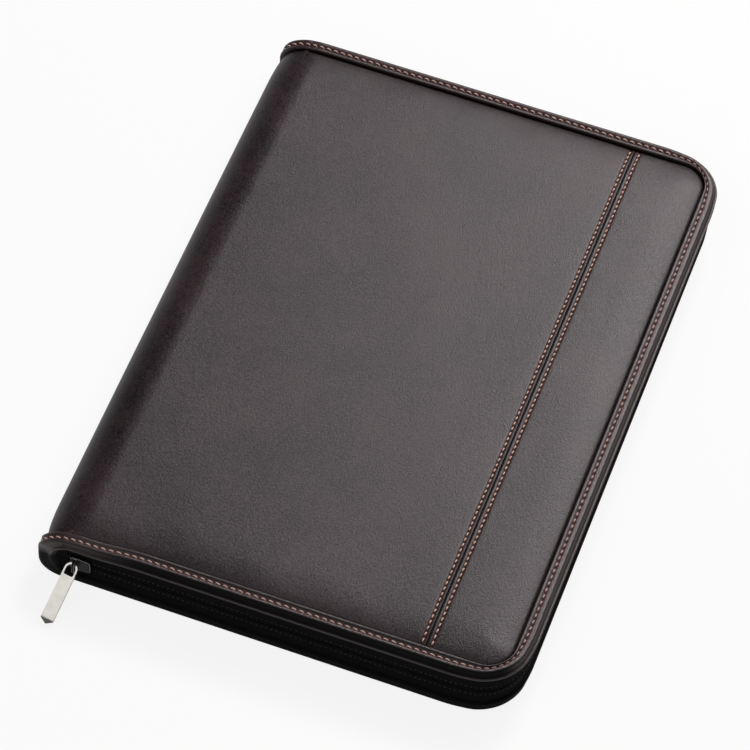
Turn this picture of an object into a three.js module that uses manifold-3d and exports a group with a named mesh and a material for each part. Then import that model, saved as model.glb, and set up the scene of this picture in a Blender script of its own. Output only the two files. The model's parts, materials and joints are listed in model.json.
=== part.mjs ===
// A zip-round portfolio folder. Two padded covers with bound, stitched edges hang on a soft rounded
// spine, a coil zip closes the three open sides, a writing pad lies in the back cover and pockets line
// the front cover.
// Millimetres. X runs from the spine to the fore edge, Y up the page and Z up. The origin is the middle
// of the folder's footprint, on the surface that it lies on.
import * as THREE from 'three';
import { mergeVertices } from 'three/addons/utils/BufferGeometryUtils.js';
import Module from 'manifold-3d';

const wasm = await Module();
wasm.setup();

// Writing pad, and the room round it
const padWidth = 210;
const padLength = 297;
const padSheetsThickness = 7;
const padCardThickness = 0.8;
const padHeaderWidth = 25;
const padHeaderThickness = 0.5;
const padEndMargin = 26.5;
const padForeMargin = 14;
const padHingeMargin = 11.35;

// Covers, from the outside in
const leatherThickness = 1.2;
const foamThickness = 2.3;
const boardThickness = 1.8;
const liningThickness = 0.7;
const cornerRadius = 23;
const seamFromForeEdge = 49.55;
const seamGap = 0.5;
const edgeRounding = 0.5;

// Binding: the leather strip round the covers' edges
const bindingWidth = 10;
const bindingSink = 0.25;
const stitchInset = 5.75;
const stitchDip = 0.5;
const beadRadius = 1;
const shoulderInset = 3.6;
const waistInset = 1.3;
const waistDrop = 3.5;
const lipDrop = 4.9;
const boardInset = 3.1;

// Pockets
const padPocketThickness = 1;
const padPocketSlitFromTop = 30;
const pocketWall = 1.2;
const documentPocketDepth = 5;
const documentPanelThickness = 1;
const documentSpareWidth = 5;
const documentSpareLength = 19;
const documentPocketWidth = padWidth + documentSpareWidth;
const documentPocketLength = padLength + documentSpareLength;
const documentPocketFromFold = 5;
const documentNotchRadius = 16;
const cardPocketCount = 3;
const cardPocketThickness = 0.8;
const cardSlot = 0.4;
const cardPocketWidth = 96;
const cardPocketLength = 62;
const cardPocketStep = 14;
const cardPocketFromFold = 16;
const cardPocketFromEnd = 55;
const cardNotchRadius = 9;
const headroom = 1.7;

// Pen loop
const penLoopBore = 10;
const penLoopWall = 1;
const penLoopWidth = 30;

// Zip: tapes, tooth rows and end stops. Distances out are measured from the covers' outer edge.
const tapeThickness = 0.6;
const tapeInset = 1.6;
const tapeFlange = 12;
const zipSlit = 1;
const toothPitch = 2.5;
const toothLength = 1.1;
const rowWidth = 3.2;
const rowThickness = 1.8;
const rowInset = 2.6;
const rowFromFold = 3.2;
const stopLength = 1.6;
const stopFromFold = 1.2;

// Slider and puller
const sliderLength = 10.5;
const sliderFromFold = 7;
const plateThickness = 1.3;
const plateClearance = 0.4;
const shoulderHalf = 5.2;
const tailHalf = 4.2;
const sliderShoulder = 3;
const shoulderDip = 0.5;
const sliderRounding = 1;
const rimClearance = 0.12;
const rimWidth = 0.8;
const postLength = 2.6;
const postClearance = 0.25;
const postFromShoulder = 0.8;
const bridgeWidth = 1.4;
const bridgeThickness = 1;
const bridgeHalf = 4.3;
const bridgeRounding = 1.5;
const bridgeFromShoulder = 2.6;
const tunnelHeight = 2.3;
const pullerWidth = 7;
const pullerLength = 33.2;
const pullerThickness = 1.4;
const eyeRim = 1;
const eyeLength = 5.8;
const eyeWidth = 5.2;
const eyeRounding = 1;
const eyeOffset = 0.3;
const eyeRise = 1.6;
const pointLength = 2.1;
const facetLength = 3.8;
const facetDrop = 0.85;
const pullerSlope = THREE.MathUtils.degToRad(30.3);
const pullerYaw = THREE.MathUtils.degToRad(8.6);

// Clearances: between pieces that touch, and across each fold line
const seat = 0.3;
const foldGap = 0.3;

// How far forms reach into each other where they are joined into one piece
const weld = 0.1;

// Sizes of the whole, worked out from what it holds
const coverThickness = leatherThickness + foamThickness + boardThickness + liningThickness;
const padStack = seat + padCardThickness + seat + padPocketThickness + seat + padSheetsThickness;
const cardPitch = cardPocketThickness + cardSlot;
const pocketStack = cardPocketCount * cardPitch + documentPanelThickness + documentPocketDepth;
const folderDepth = 2 * coverThickness + padStack + headroom + pocketStack;
const folderHeight = padLength + 2 * padEndMargin;
const spineRadius = folderDepth / 2;
const folderWidth = spineRadius + foldGap / 2 + padHingeMargin + padWidth + padForeMargin;
const foldX = -folderWidth / 2 + spineRadius + foldGap / 2;
const spineX = foldX - foldGap / 2;
const coverX = foldX + foldGap / 2;
const foreX = folderWidth / 2;
const topY = folderHeight / 2;
const midZ = folderDepth / 2;
const channelDepth = leatherThickness + foamThickness;
const panelInset = bindingWidth + seat;
const quarter = Math.PI / 2;

// Materials
const finishes = {
  leather: { color: 0x2b2324, roughness: 0.5, metalness: 0 },
  lining: { color: 0x1d1a1b, roughness: 0.8, metalness: 0 },
  textile: { color: 0x121011, roughness: 0.9, metalness: 0 },
  foam: { color: 0x3a3836, roughness: 1, metalness: 0 },
  board: { color: 0x8a7a66, roughness: 0.9, metalness: 0 },
  paper: { color: 0xf3f1ea, roughness: 0.8, metalness: 0 },
  card: { color: 0xa9967a, roughness: 0.9, metalness: 0 },
  nylon: { color: 0x161415, roughness: 0.45, metalness: 0 },
  nickel: { color: 0xc9c6c0, roughness: 0.25, metalness: 1 },
};

const folder = new THREE.Group();

function addPiece(name, geometry, finish) {
  const mesh = new THREE.Mesh(geometry, new THREE.MeshStandardMaterial(finishes[finish]));
  mesh.name = name;
  folder.add(mesh);
}

// Joining and cutting

function toSolid(geometry) {
  const bare = geometry.clone();
  bare.deleteAttribute('normal');
  bare.deleteAttribute('uv');
  const merged = mergeVertices(bare, 1e-4);
  const vertProperties = new Float32Array(merged.attributes.position.array);
  const triVerts = new Uint32Array(merged.index.array);
  return new wasm.Manifold(new wasm.Mesh({ numProp: 3, vertProperties, triVerts }));
}

function toGeometry(solid) {
  const mesh = solid.getMesh();
  const geometry = new THREE.BufferGeometry();
  geometry.setAttribute('position', new THREE.BufferAttribute(mesh.vertProperties, 3));
  geometry.setIndex(new THREE.BufferAttribute(mesh.triVerts, 1));
  return geometry;
}

function join(geometries) {
  return toGeometry(geometries.map(toSolid).reduce((a, b) => a.add(b)));
}

function cut(geometry, tools) {
  return toGeometry(tools.map(toSolid).reduce((a, b) => a.subtract(b), toSolid(geometry)));
}

// Basic forms

function block(x0, x1, y0, y1, z0, z1) {
  const geometry = new THREE.BoxGeometry(x1 - x0, y1 - y0, z1 - z0);
  return geometry.translate((x0 + x1) / 2, (y0 + y1) / 2, (z0 + z1) / 2);
}

function extrude(shape, depth, curveSegments = 8) {
  return new THREE.ExtrudeGeometry(shape, { depth, bevelEnabled: false, curveSegments });
}

// A closed surface from points and triangles that all wind alike, turned to face out if they face in.
function closedSurface(points, triangles) {
  const cross = new THREE.Vector3();
  let volume = 0;
  for (const [i, j, k] of triangles) {
    volume += points[i].dot(cross.crossVectors(points[j], points[k]));
  }
  const facing = volume < 0 ? triangles.map(([i, j, k]) => [k, j, i]) : triangles;
  const geometry = new THREE.BufferGeometry().setFromPoints(points);
  geometry.setIndex(facing.flat());
  return geometry;
}

// Triangles of a flat outline, all counter-clockwise as seen in the outline's own plane.
function flatTriangles(outline) {
  const found = THREE.ShapeUtils.triangulateShape(outline, []);
  return found.map((t) => {
    const [a, b, c] = t.map((i) => outline[i]);
    const turn = (b.x - a.x) * (c.y - a.y) - (b.y - a.y) * (c.x - a.x);
    return turn < 0 ? [t[2], t[1], t[0]] : t;
  });
}

// A profile of (out, up) points carried through stations, with both ends capped. A station is a
// function that places a profile point in space.
function sweep(profile, stations) {
  const outline = THREE.ShapeUtils.isClockWise(profile) ? [...profile].reverse() : profile;
  const n = outline.length;
  const points = stations.flatMap((place) => outline.map((p) => place(p.x, p.y)));
  const triangles = [];
  for (let s = 0; s + 1 < stations.length; s++) {
    for (let i = 0; i < n; i++) {
      const a = s * n + i;
      const b = s * n + ((i + 1) % n);
      triangles.push([a, b, a + n], [b, b + n, a + n]);
    }
  }
  const last = (stations.length - 1) * n;
  for (const [i, j, k] of flatTriangles(outline)) {
    triangles.push([k, j, i], [last + i, last + j, last + k]);
  }
  return closedSurface(points, triangles);
}

// Places round the folder

// A height above the outer face of the front or the back cover, as Z. Inside the cover it is negative.
function faceZ(side, up) {
  return side === 'front' ? folderDepth + up : -up;
}

// A station at (x, y) on a cover's outer edge whose outward normal is at the given angle.
function edgeStation(side, x, y, angle) {
  return (out, up) => new THREE.Vector3(
    x + out * Math.cos(angle),
    y + out * Math.sin(angle),
    faceZ(side, up),
  );
}

// The stretches of a cover's outer edge from the fold at the top to the fold at the bottom. Each
// gives its length at a distance in from the edge, and the station at a share of that length.
function edgeRuns(side, fromFold = 0) {
  const x0 = coverX + fromFold;
  const xc = foreX - cornerRadius;
  const yc = topY - cornerRadius;
  const straight = (xa, ya, xb, yb, angle) => ({
    curved: false,
    lengthAt: () => Math.hypot(xb - xa, yb - ya),
    at: (t) => edgeStation(side, xa + (xb - xa) * t, ya + (yb - ya) * t, angle),
  });
  const corner = (yCentre, start) => ({
    curved: true,
    lengthAt: (inset) => (cornerRadius - inset) * quarter,
    at: (t) => {
      const angle = start - t * quarter;
      const x = xc + cornerRadius * Math.cos(angle);
      return edgeStation(side, x, yCentre + cornerRadius * Math.sin(angle), angle);
    },
  });
  return [
    straight(x0, topY, xc, topY, quarter),
    corner(yc, quarter),
    straight(foreX, yc, foreX, -yc, 0),
    corner(-yc, 0),
    straight(xc, -topY, x0, -topY, -quarter),
  ];
}

// Stations for a sweep round a cover's three open sides.
function edgeStations(side, cornerSteps) {
  const stations = [];
  for (const run of edgeRuns(side)) {
    const steps = run.curved ? cornerSteps : 1;
    for (let i = stations.length ? 1 : 0; i <= steps; i++) {
      stations.push(run.at(i / steps));
    }
  }
  return stations;
}

// Stations for a sweep round one end of the spine, from the front cover's face to the back cover's.
function spineStations(end, steps) {
  return Array.from({ length: steps + 1 }, (_, i) => {
    const angle = quarter + (Math.PI * i) / steps;
    return (out, up) => new THREE.Vector3(
      spineX + (spineRadius + up) * Math.cos(angle),
      end * (topY + out),
      midZ + (spineRadius + up) * Math.sin(angle),
    );
  });
}

// The outline of a cover's layer, square at the fold and round at the fore corners.
function coverOutline(inset, x0 = coverX, x1 = foreX - inset, rounded = true) {
  const y = topY - inset;
  const r = rounded ? Math.max(cornerRadius - inset, 1) : 0;
  const shape = new THREE.Shape();
  shape.moveTo(x0, -y);
  shape.lineTo(x1 - r, -y);
  if (rounded) shape.absarc(x1 - r, -y + r, r, -quarter, 0);
  shape.lineTo(x1, y - r);
  if (rounded) shape.absarc(x1 - r, y - r, r, 0, quarter);
  shape.lineTo(x0, y);
  return shape;
}

// A flat layer between two depths below a cover's outer face. A rounded one has its edges eased.
function coverLayer(side, shape, outerDepth, innerDepth, eased = false) {
  const z = [faceZ(side, -outerDepth), faceZ(side, -innerDepth)].sort((a, b) => a - b);
  if (!eased) return extrude(shape, z[1] - z[0], 5).translate(0, 0, z[0]);
  const geometry = new THREE.ExtrudeGeometry(shape, {
    depth: z[1] - z[0] - edgeRounding,
    bevelThickness: edgeRounding / 2,
    bevelSize: edgeRounding,
    bevelOffset: -edgeRounding,
    bevelSegments: 1,
    curveSegments: 5,
  });
  return geometry.translate(0, 0, z[0] + edgeRounding / 2);
}

// The binding's section: a bead against the panel, the dip that the stitches pull, the shoulder, the
// waist and the lip that hides the zip tape's edge. It sits on the board and laps its edge.
function bindingProfile() {
  const shape = new THREE.Shape();
  shape.moveTo(-bindingWidth, -channelDepth);
  shape.lineTo(-bindingWidth, -bindingSink - beadRadius);
  shape.quadraticCurveTo(-bindingWidth, -bindingSink, -bindingWidth + beadRadius, -bindingSink);
  shape.lineTo(-stitchInset - beadRadius, -bindingSink);
  shape.quadraticCurveTo(
    -stitchInset,
    -bindingSink - 2 * stitchDip,
    -stitchInset + beadRadius,
    -bindingSink,
  );
  shape.lineTo(-shoulderInset, -bindingSink);
  shape.quadraticCurveTo(-waistInset, -bindingSink, -waistInset, -waistDrop);
  shape.quadraticCurveTo(0, -waistDrop, 0, -lipDrop);
  shape.lineTo(0, -coverThickness + edgeRounding);
  shape.lineTo(-edgeRounding, -coverThickness);
  shape.lineTo(-boardInset + seat, -coverThickness);
  shape.lineTo(-boardInset + seat, -channelDepth);
  return shape.extractPoints(3).shape;
}

// Covers

function addCover(side) {
  const inner = panelInset + seat;
  const boardDepth = channelDepth + boardThickness;
  if (side === 'front') {
    const seamX = foreX - seamFromForeEdge;
    const main = coverOutline(panelInset, coverX, seamX - seamGap / 2, false);
    const strip = coverOutline(panelInset, seamX + seamGap / 2);
    addPiece('front_cover_main', coverLayer(side, main, 0, leatherThickness, true), 'leather');
    addPiece('front_cover_side', coverLayer(side, strip, 0, leatherThickness, true), 'leather');
  } else {
    const whole = coverOutline(panelInset);
    addPiece('back_cover', coverLayer(side, whole, 0, leatherThickness, true), 'leather');
  }
  const foam = coverLayer(side, coverOutline(inner), leatherThickness, channelDepth);
  const board = coverLayer(side, coverOutline(boardInset), channelDepth, boardDepth);
  const lining = coverLayer(side, coverOutline(boardInset), boardDepth, coverThickness);
  addPiece(`${side}_foam`, foam, 'foam');
  addPiece(`${side}_board`, board, 'board');
  addPiece(`${side}_lining`, lining, 'lining');
  addPiece(`${side}_binding`, sweep(bindingProfile(), edgeStations(side, 8)), 'leather');
}

// Spine: half shells one inside the other, bound at both ends, which two half-round flaps close.

function halfShell(outerRadius, innerRadius, halfLength) {
  const shape = new THREE.Shape();
  shape.absarc(0, 0, outerRadius, quarter, 3 * quarter);
  shape.absarc(0, 0, innerRadius, 3 * quarter, quarter, true);
  const geometry = extrude(shape, 2 * halfLength);
  return geometry.rotateX(quarter).translate(spineX, halfLength, midZ);
}

function addSpine() {
  const layers = [
    ['spine_cover', leatherThickness, panelInset, 'leather'],
    ['spine_foam', foamThickness, panelInset + seat, 'foam'],
    ['spine_board', boardThickness, boardInset, 'board'],
    ['spine_lining', liningThickness, boardInset, 'lining'],
  ];
  let radius = spineRadius;
  for (const [name, thickness, inset, finish] of layers) {
    const outer = radius === spineRadius ? radius : radius - seat;
    radius -= thickness;
    addPiece(name, halfShell(outer, radius, topY - inset), finish);
  }
  const flap = new THREE.Shape();
  flap.absarc(0, 0, radius - seat, quarter, 3 * quarter);
  for (const [name, end] of [['top', 1], ['bottom', -1]]) {
    const binding = sweep(bindingProfile(), spineStations(end, 12));
    addPiece(`spine_binding_${name}`, binding, 'leather');
    const outerY = end * (topY - tapeInset);
    const innerY = outerY - end * tapeThickness;
    const geometry = extrude(flap, tapeThickness).rotateX(quarter);
    geometry.translate(spineX, Math.max(outerY, innerY), midZ);
    addPiece(`spine_end_${name}`, geometry, 'textile');
  }
}

// Zip

// The tape hangs from the cover's edge to the middle of the gusset, on a flange under the lining.
function addTape(side, name) {
  const inner = -tapeInset - tapeThickness;
  const profile = [
    [-tapeFlange, -coverThickness],
    [-tapeFlange, -coverThickness - tapeThickness],
    [inner, -coverThickness - tapeThickness],
    [inner, -midZ + zipSlit / 2],
    [-tapeInset, -midZ + zipSlit / 2],
    [-tapeInset, -coverThickness],
  ].map(([out, up]) => new THREE.Vector2(out, up));
  addPiece(`${name}_zip_tape`, sweep(profile, edgeStations(side, 8)), 'textile');
}

// A row of zip teeth round three sides: a strip whose free edge runs to and fro between tooth tips and
// valleys. Straight stretches have one long face along the base, and curved ones a facet for each
// half tooth. The two rows' teeth stand half a pitch apart, so they would mesh.
function toothRow(side, phase) {
  const up = (reach) => -midZ + zipSlit / 2 + reach;
  const middle = rowInset + rowThickness / 2;
  const steps = [];
  for (const run of edgeRuns(side, rowFromFold)) {
    const count = 2 * Math.max(1, Math.round(run.lengthAt(middle) / toothPitch));
    for (let i = steps.length ? 1 : 0; i <= count; i++) {
      const place = run.at(i / count);
      const ends = run.curved || i === 0 || i === count;
      steps.push({ place, ends });
    }
  }
  const points = [];
  const pair = (place, reach) => {
    points.push(place(-rowInset - rowThickness, up(reach)), place(-rowInset, up(reach)));
    return points.length - 2;
  };
  steps.forEach((step, i) => {
    const tip = (i + phase) % 2 === 0;
    step.height = tip ? 0 : toothLength;
    step.edge = pair(step.place, step.height);
    if (step.ends) step.base = pair(step.place, rowWidth);
  });
  const triangles = [];
  const wall = (a, b) => triangles.push([b + 1, a + 1, a], [b + 1, a, b]);
  let from = 0;
  for (let to = 1; to < steps.length; to++) {
    if (!steps[to].ends) continue;
    const edges = steps.slice(from, to + 1).map((s, i) => [s.edge, from + i, s.height]).reverse();
    const bases = [[steps[from].base, from, rowWidth], [steps[to].base, to, rowWidth]];
    const ring = [...bases, ...edges].reverse();
    const outline = ring.map(([, along, height]) => new THREE.Vector2(along, height));
    const ids = ring.map(([id]) => id);
    const turned = THREE.ShapeUtils.isClockWise(outline);
    for (const [i, j, k] of flatTriangles(outline)) {
      triangles.push([ids[i] + 1, ids[j] + 1, ids[k] + 1], [ids[k], ids[j], ids[i]]);
    }
    ids.forEach((id, i) => {
      const next = ids[(i + 1) % ids.length];
      const upright = ring[i][1] === ring[(i + 1) % ids.length][1];
      const rowEnd = ring[i][1] === 0 || ring[i][1] === steps.length - 1;
      if (upright && !rowEnd) return;
      if (turned) wall(next, id);
      else wall(id, next);
    });
    from = to;
  }
  return closedSurface(points, triangles);
}

// Small stops at both ends of each row.
function addStops(side, name) {
  const runs = edgeRuns(side, stopFromFold);
  const ends = { start: runs[0], finish: runs[runs.length - 1] };
  for (const [end, run] of Object.entries(ends)) {
    const share = stopLength / run.lengthAt();
    const stretch = end === 'start' ? [0, share] : [1 - share, 1];
    const profile = [
      [-rowInset - rowThickness, 0],
      [-rowInset, 0],
      [-rowInset, rowWidth],
      [-rowInset - rowThickness, rowWidth],
    ].map(([out, reach]) => new THREE.Vector2(out, -midZ + zipSlit / 2 + reach));
    const stop = sweep(profile, stretch.map((t) => run.at(t)));
    addPiece(`zip_stop_${name}_${end}`, stop, 'nickel');
  }
}

function addZip() {
  for (const [side, name, phase] of [['front', 'upper', 0], ['back', 'lower', 1]]) {
    addTape(side, name);
    addPiece(`${name}_zip_teeth`, toothRow(side, phase), 'nylon');
    addStops(side, name);
  }
}

// Slider. Its own axes: X along the zip, Y across the rows and Z outwards from the covers' edge.

// A slider plate: broad shoulders where the rows come in apart, narrower where they leave joined.
function sliderPlate(shoulder, tail, innerFace) {
  const half = sliderLength / 2;
  const shape = new THREE.Shape();
  shape.moveTo(half - sliderRounding, -tail);
  shape.quadraticCurveTo(half, -tail, half, -tail + sliderRounding);
  shape.lineTo(half, tail - sliderRounding);
  shape.quadraticCurveTo(half, tail, half - sliderRounding, tail);
  shape.lineTo(-half + sliderShoulder, shoulder);
  shape.quadraticCurveTo(-half, shoulder, -half, shoulder / 2);
  shape.quadraticCurveTo(-half + shoulderDip, 0, -half, -shoulder / 2);
  shape.quadraticCurveTo(-half, -shoulder, -half + sliderShoulder, -shoulder);
  return extrude(shape, plateThickness, 4).translate(0, 0, innerFace);
}

function sliderPost(low, high) {
  const half = zipSlit / 2 - postClearance;
  const shape = new THREE.Shape();
  shape.moveTo(-postLength / 2, 0);
  shape.quadraticCurveTo(0, -2 * half, postLength / 2, 0);
  shape.quadraticCurveTo(0, 2 * half, -postLength / 2, 0);
  const place = -sliderLength / 2 + postLength / 2 + postFromShoulder;
  return extrude(shape, high - low, 4).translate(place, 0, low);
}

const bridgeX = -sliderLength / 2 + bridgeFromShoulder;
const outerFace = -tapeInset + plateClearance;
const bridgeFoot = outerFace + plateThickness;

// The bridge stands across the outer plate, and the puller's eye hangs in its tunnel.
function sliderBridge() {
  const top = bridgeFoot + tunnelHeight + bridgeThickness;
  const round = bridgeRounding;
  const inner = bridgeHalf - bridgeThickness;
  const roof = bridgeFoot + tunnelHeight;
  const foot = bridgeFoot - weld;
  const shape = new THREE.Shape();
  shape.moveTo(-bridgeHalf, foot);
  shape.lineTo(-bridgeHalf, top - round);
  shape.quadraticCurveTo(-bridgeHalf, top, -bridgeHalf + round, top);
  shape.lineTo(bridgeHalf - round, top);
  shape.quadraticCurveTo(bridgeHalf, top, bridgeHalf, top - round);
  shape.lineTo(bridgeHalf, foot);
  shape.lineTo(inner, foot);
  shape.lineTo(inner, roof);
  shape.lineTo(-inner, roof);
  shape.lineTo(-inner, foot);
  const geometry = extrude(shape, bridgeWidth, 4);
  geometry.rotateX(quarter).rotateZ(quarter);
  return geometry.translate(bridgeX - bridgeWidth / 2, 0, 0);
}

const sliderX = foldX + sliderFromFold;

// The inner plate's turned rims stay clear of the rows, so either row can leave the slider sideways.
function zipSlider() {
  const rowBack = -rowInset - rowThickness;
  const innerTop = rowBack - plateClearance;
  const channel = zipSlit / 2 + rowWidth;
  const edge = channel + rimWidth;
  const half = sliderLength / 2;
  const rim = (y) => block(
    -half + sliderShoulder,
    half - sliderRounding,
    y,
    y + rimWidth,
    innerTop - weld,
    rowBack - rimClearance,
  );
  const body = join([
    sliderPlate(shoulderHalf, tailHalf, outerFace),
    sliderPlate(edge + rimWidth, edge, innerTop - plateThickness),
    sliderPost(innerTop - weld, outerFace + weld),
    rim(channel),
    rim(-edge),
    sliderBridge(),
  ]);
  return body.rotateX(quarter).translate(sliderX, -topY, midZ);
}

// Puller: a flat bar with a round eye and a faceted point. Its own axes: the eye's bar lies along X at
// the origin and the bar runs along -Y.
function zipPuller() {
  const outerRadius = pullerWidth / 2;
  const eyeRadius = eyeWidth / 2;
  const toTip = pullerLength - eyeRim / 2;
  const shape = new THREE.Shape();
  shape.moveTo(outerRadius, eyeRim / 2 - outerRadius);
  shape.absarc(0, eyeRim / 2 - outerRadius, outerRadius, 0, Math.PI);
  shape.lineTo(-outerRadius, -toTip + pointLength);
  shape.lineTo(0, -toTip);
  shape.lineTo(outerRadius, -toTip + pointLength);
  const eye = new THREE.Path();
  const eyeTop = -eyeRim / 2 - eyeRadius;
  const eyeBottom = -eyeRim / 2 - eyeLength;
  eye.moveTo(eyeRadius, eyeTop);
  eye.absarc(0, eyeTop, eyeRadius, 0, Math.PI);
  eye.lineTo(-eyeRadius, eyeBottom + eyeRounding);
  eye.quadraticCurveTo(-eyeRadius, eyeBottom, -eyeRadius + eyeRounding, eyeBottom);
  eye.lineTo(eyeRadius - eyeRounding, eyeBottom);
  eye.quadraticCurveTo(eyeRadius, eyeBottom, eyeRadius, eyeBottom + eyeRounding);
  shape.holes.push(eye);
  const flat = extrude(shape, pullerThickness, 6).translate(0, 0, -pullerThickness / 2);
  const fall = Math.atan2(facetDrop, facetLength);
  const facet = block(-pullerWidth, pullerWidth, -2 * facetLength, 0, 0, pullerThickness * 2);
  facet.rotateX(fall).translate(0, -toTip + facetLength, pullerThickness / 2);
  return cut(flat, [facet]);
}

function addSlider() {
  addPiece('zip_slider', zipSlider(), 'nickel');
  const puller = zipPuller();
  puller.rotateX(pullerSlope).rotateZ(-pullerYaw);
  const eyeOut = bridgeFoot + tunnelHeight / 2;
  puller.translate(sliderX + bridgeX - eyeOffset, -topY - eyeOut, midZ + eyeRise);
  addPiece('zip_puller', puller, 'nickel');
}

// Inside the back cover: the pad's card slides under the pocket panel, its sheets lie on top of it.
function addPad() {
  const x0 = foldX + padHingeMargin;
  const x1 = x0 + padWidth;
  const y1 = padLength / 2;
  const cardZ = coverThickness + seat;
  const panelZ = cardZ + padCardThickness + seat;
  const sheetsZ = panelZ + padPocketThickness + seat;
  const sheetsTop = sheetsZ + padSheetsThickness;
  const outer = seat + pocketWall;
  const slitY = y1 - padPocketSlitFromTop;
  const panel = join([
    block(x0 - outer, x1 + outer, -y1 - outer, slitY, panelZ, panelZ + padPocketThickness),
    block(x0 - outer, x0 - seat, -y1 - outer, slitY, coverThickness, panelZ + weld),
    block(x1 + seat, x1 + outer, -y1 - outer, slitY, coverThickness, panelZ + weld),
    block(x0 - outer, x1 + outer, -y1 - outer, -y1 - seat, coverThickness, panelZ + weld),
  ]);
  addPiece('pad_pocket', panel, 'lining');
  addPiece('pad_card', block(x0, x1, -y1, y1, cardZ, cardZ + padCardThickness), 'card');
  addPiece('pad_sheets', block(x0, x1, -y1, y1, sheetsZ, sheetsTop), 'paper');
  const headerTop = sheetsTop + seat + padHeaderThickness;
  const header = join([
    block(x0, x1, y1 - padHeaderWidth, y1 + seat + padHeaderThickness, sheetsTop + seat, headerTop),
    block(x0, x1, y1 + seat, y1 + seat + padHeaderThickness, cardZ, headerTop),
  ]);
  addPiece('pad_header', header, 'card');
}

// A round thumb notch tool, a cylinder standing along Z at (x, y).
function notch(x, y, radius, z0, z1) {
  const geometry = new THREE.CylinderGeometry(radius, radius, z1 - z0, 24);
  return geometry.rotateX(quarter).translate(x, y, (z0 + z1) / 2);
}

// Inside the front cover: a deep document pocket that opens towards the spine, with stepped card
// pockets on it that open upwards.
function addPockets() {
  const roof = folderDepth - coverThickness;
  const panelTop = roof - documentPocketDepth;
  const panelZ = panelTop - documentPanelThickness;
  const x0 = foldX + documentPocketFromFold;
  const x1 = x0 + documentPocketWidth;
  const y1 = documentPocketLength / 2;
  const wallZ = panelTop - weld;
  const pocket = join([
    block(x0, x1, -y1, y1, panelZ, panelTop),
    block(x0, x1, y1 - pocketWall, y1, wallZ, roof),
    block(x0, x1, -y1, -y1 + pocketWall, wallZ, roof),
    block(x1 - pocketWall, x1, -y1, y1, wallZ, roof),
  ]);
  const thumb = notch(x0, 0, documentNotchRadius, panelZ - weld, panelTop + weld);
  addPiece('document_pocket', cut(pocket, [thumb]), 'lining');
  for (let i = 0; i < cardPocketCount; i++) {
    const top = panelZ - i * cardPitch;
    const face = top - cardSlot;
    const low = face - cardPocketThickness;
    const cx0 = foldX + cardPocketFromFold;
    const cx1 = cx0 + cardPocketWidth;
    const cy0 = -y1 + cardPocketFromEnd;
    const cy1 = cy0 + cardPocketLength + (cardPocketCount - 1 - i) * cardPocketStep;
    const card = join([
      block(cx0, cx1, cy0, cy1, low, face),
      block(cx0, cx0 + pocketWall, cy0, cy1, face - weld, top),
      block(cx1 - pocketWall, cx1, cy0, cy1, face - weld, top),
      block(cx0, cx1, cy0, cy0 + pocketWall, face - weld, top),
    ]);
    const dent = notch((cx0 + cx1) / 2, cy1, cardNotchRadius, low - weld, face + weld);
    addPiece(`card_pocket_${i + 1}`, cut(card, [dent]), 'lining');
  }
}

// The elastic pen loop is sewn to the middle of the spine's lining.
function addPenLoop() {
  const outer = penLoopBore / 2 + penLoopWall;
  const shape = new THREE.Shape();
  shape.absarc(0, 0, outer, 0, 2 * Math.PI);
  const bore = new THREE.Path();
  bore.absarc(0, 0, penLoopBore / 2, 0, 2 * Math.PI);
  shape.holes.push(bore);
  const x = spineX - (spineRadius - coverThickness - seat - outer);
  const loop = extrude(shape, penLoopWidth, 10).rotateX(quarter);
  addPiece('pen_loop', loop.translate(x, penLoopWidth / 2, midZ), 'textile');
}

addCover('back');
addCover('front');
addSpine();
addZip();
addSlider();
addPad();
addPockets();
addPenLoop();

export default folder;
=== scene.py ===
import json
import math

import bmesh
import bpy
import numpy as np
from mathutils import Euler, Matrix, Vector


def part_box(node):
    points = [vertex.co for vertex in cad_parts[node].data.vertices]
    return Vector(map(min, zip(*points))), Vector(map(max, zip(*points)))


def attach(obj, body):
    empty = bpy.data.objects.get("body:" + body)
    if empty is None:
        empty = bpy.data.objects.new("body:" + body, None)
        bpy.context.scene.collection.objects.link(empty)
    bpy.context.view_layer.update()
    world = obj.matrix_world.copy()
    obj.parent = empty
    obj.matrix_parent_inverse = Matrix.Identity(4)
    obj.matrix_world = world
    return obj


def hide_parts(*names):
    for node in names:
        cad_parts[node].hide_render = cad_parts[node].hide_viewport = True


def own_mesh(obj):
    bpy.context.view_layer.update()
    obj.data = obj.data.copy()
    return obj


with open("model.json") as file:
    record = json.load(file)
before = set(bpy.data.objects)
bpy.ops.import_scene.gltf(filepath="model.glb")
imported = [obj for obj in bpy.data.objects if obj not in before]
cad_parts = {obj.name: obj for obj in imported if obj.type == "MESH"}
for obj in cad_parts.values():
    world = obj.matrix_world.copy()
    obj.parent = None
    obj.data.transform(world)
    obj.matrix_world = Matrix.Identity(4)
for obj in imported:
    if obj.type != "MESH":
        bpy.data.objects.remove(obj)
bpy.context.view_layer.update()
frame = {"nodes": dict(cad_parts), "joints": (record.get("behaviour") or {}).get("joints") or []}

# Shapes are worked out in millimetres in the folder's own frame: X from the spine to the fore edge,
# Y up the page, Z from the back cover to the front cover. Meshes are stored in metres.
mm = 0.001
joints = {j["name"]: j for j in frame["joints"]}


# A CAD node's box in millimetres.
def boxOf(node):
    low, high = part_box(node)
    return np.array(low) / mm, np.array(high) / mm


bindingHigh = boxOf("front_binding")[1]
mainHigh = boxOf("front_cover_main")[1]
sideLow = boxOf("front_cover_side")[0]
liningLow, liningHigh = boxOf("front_lining")
seamShift = -0.45                                  # the photo's seam lies a little to the left

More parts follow.
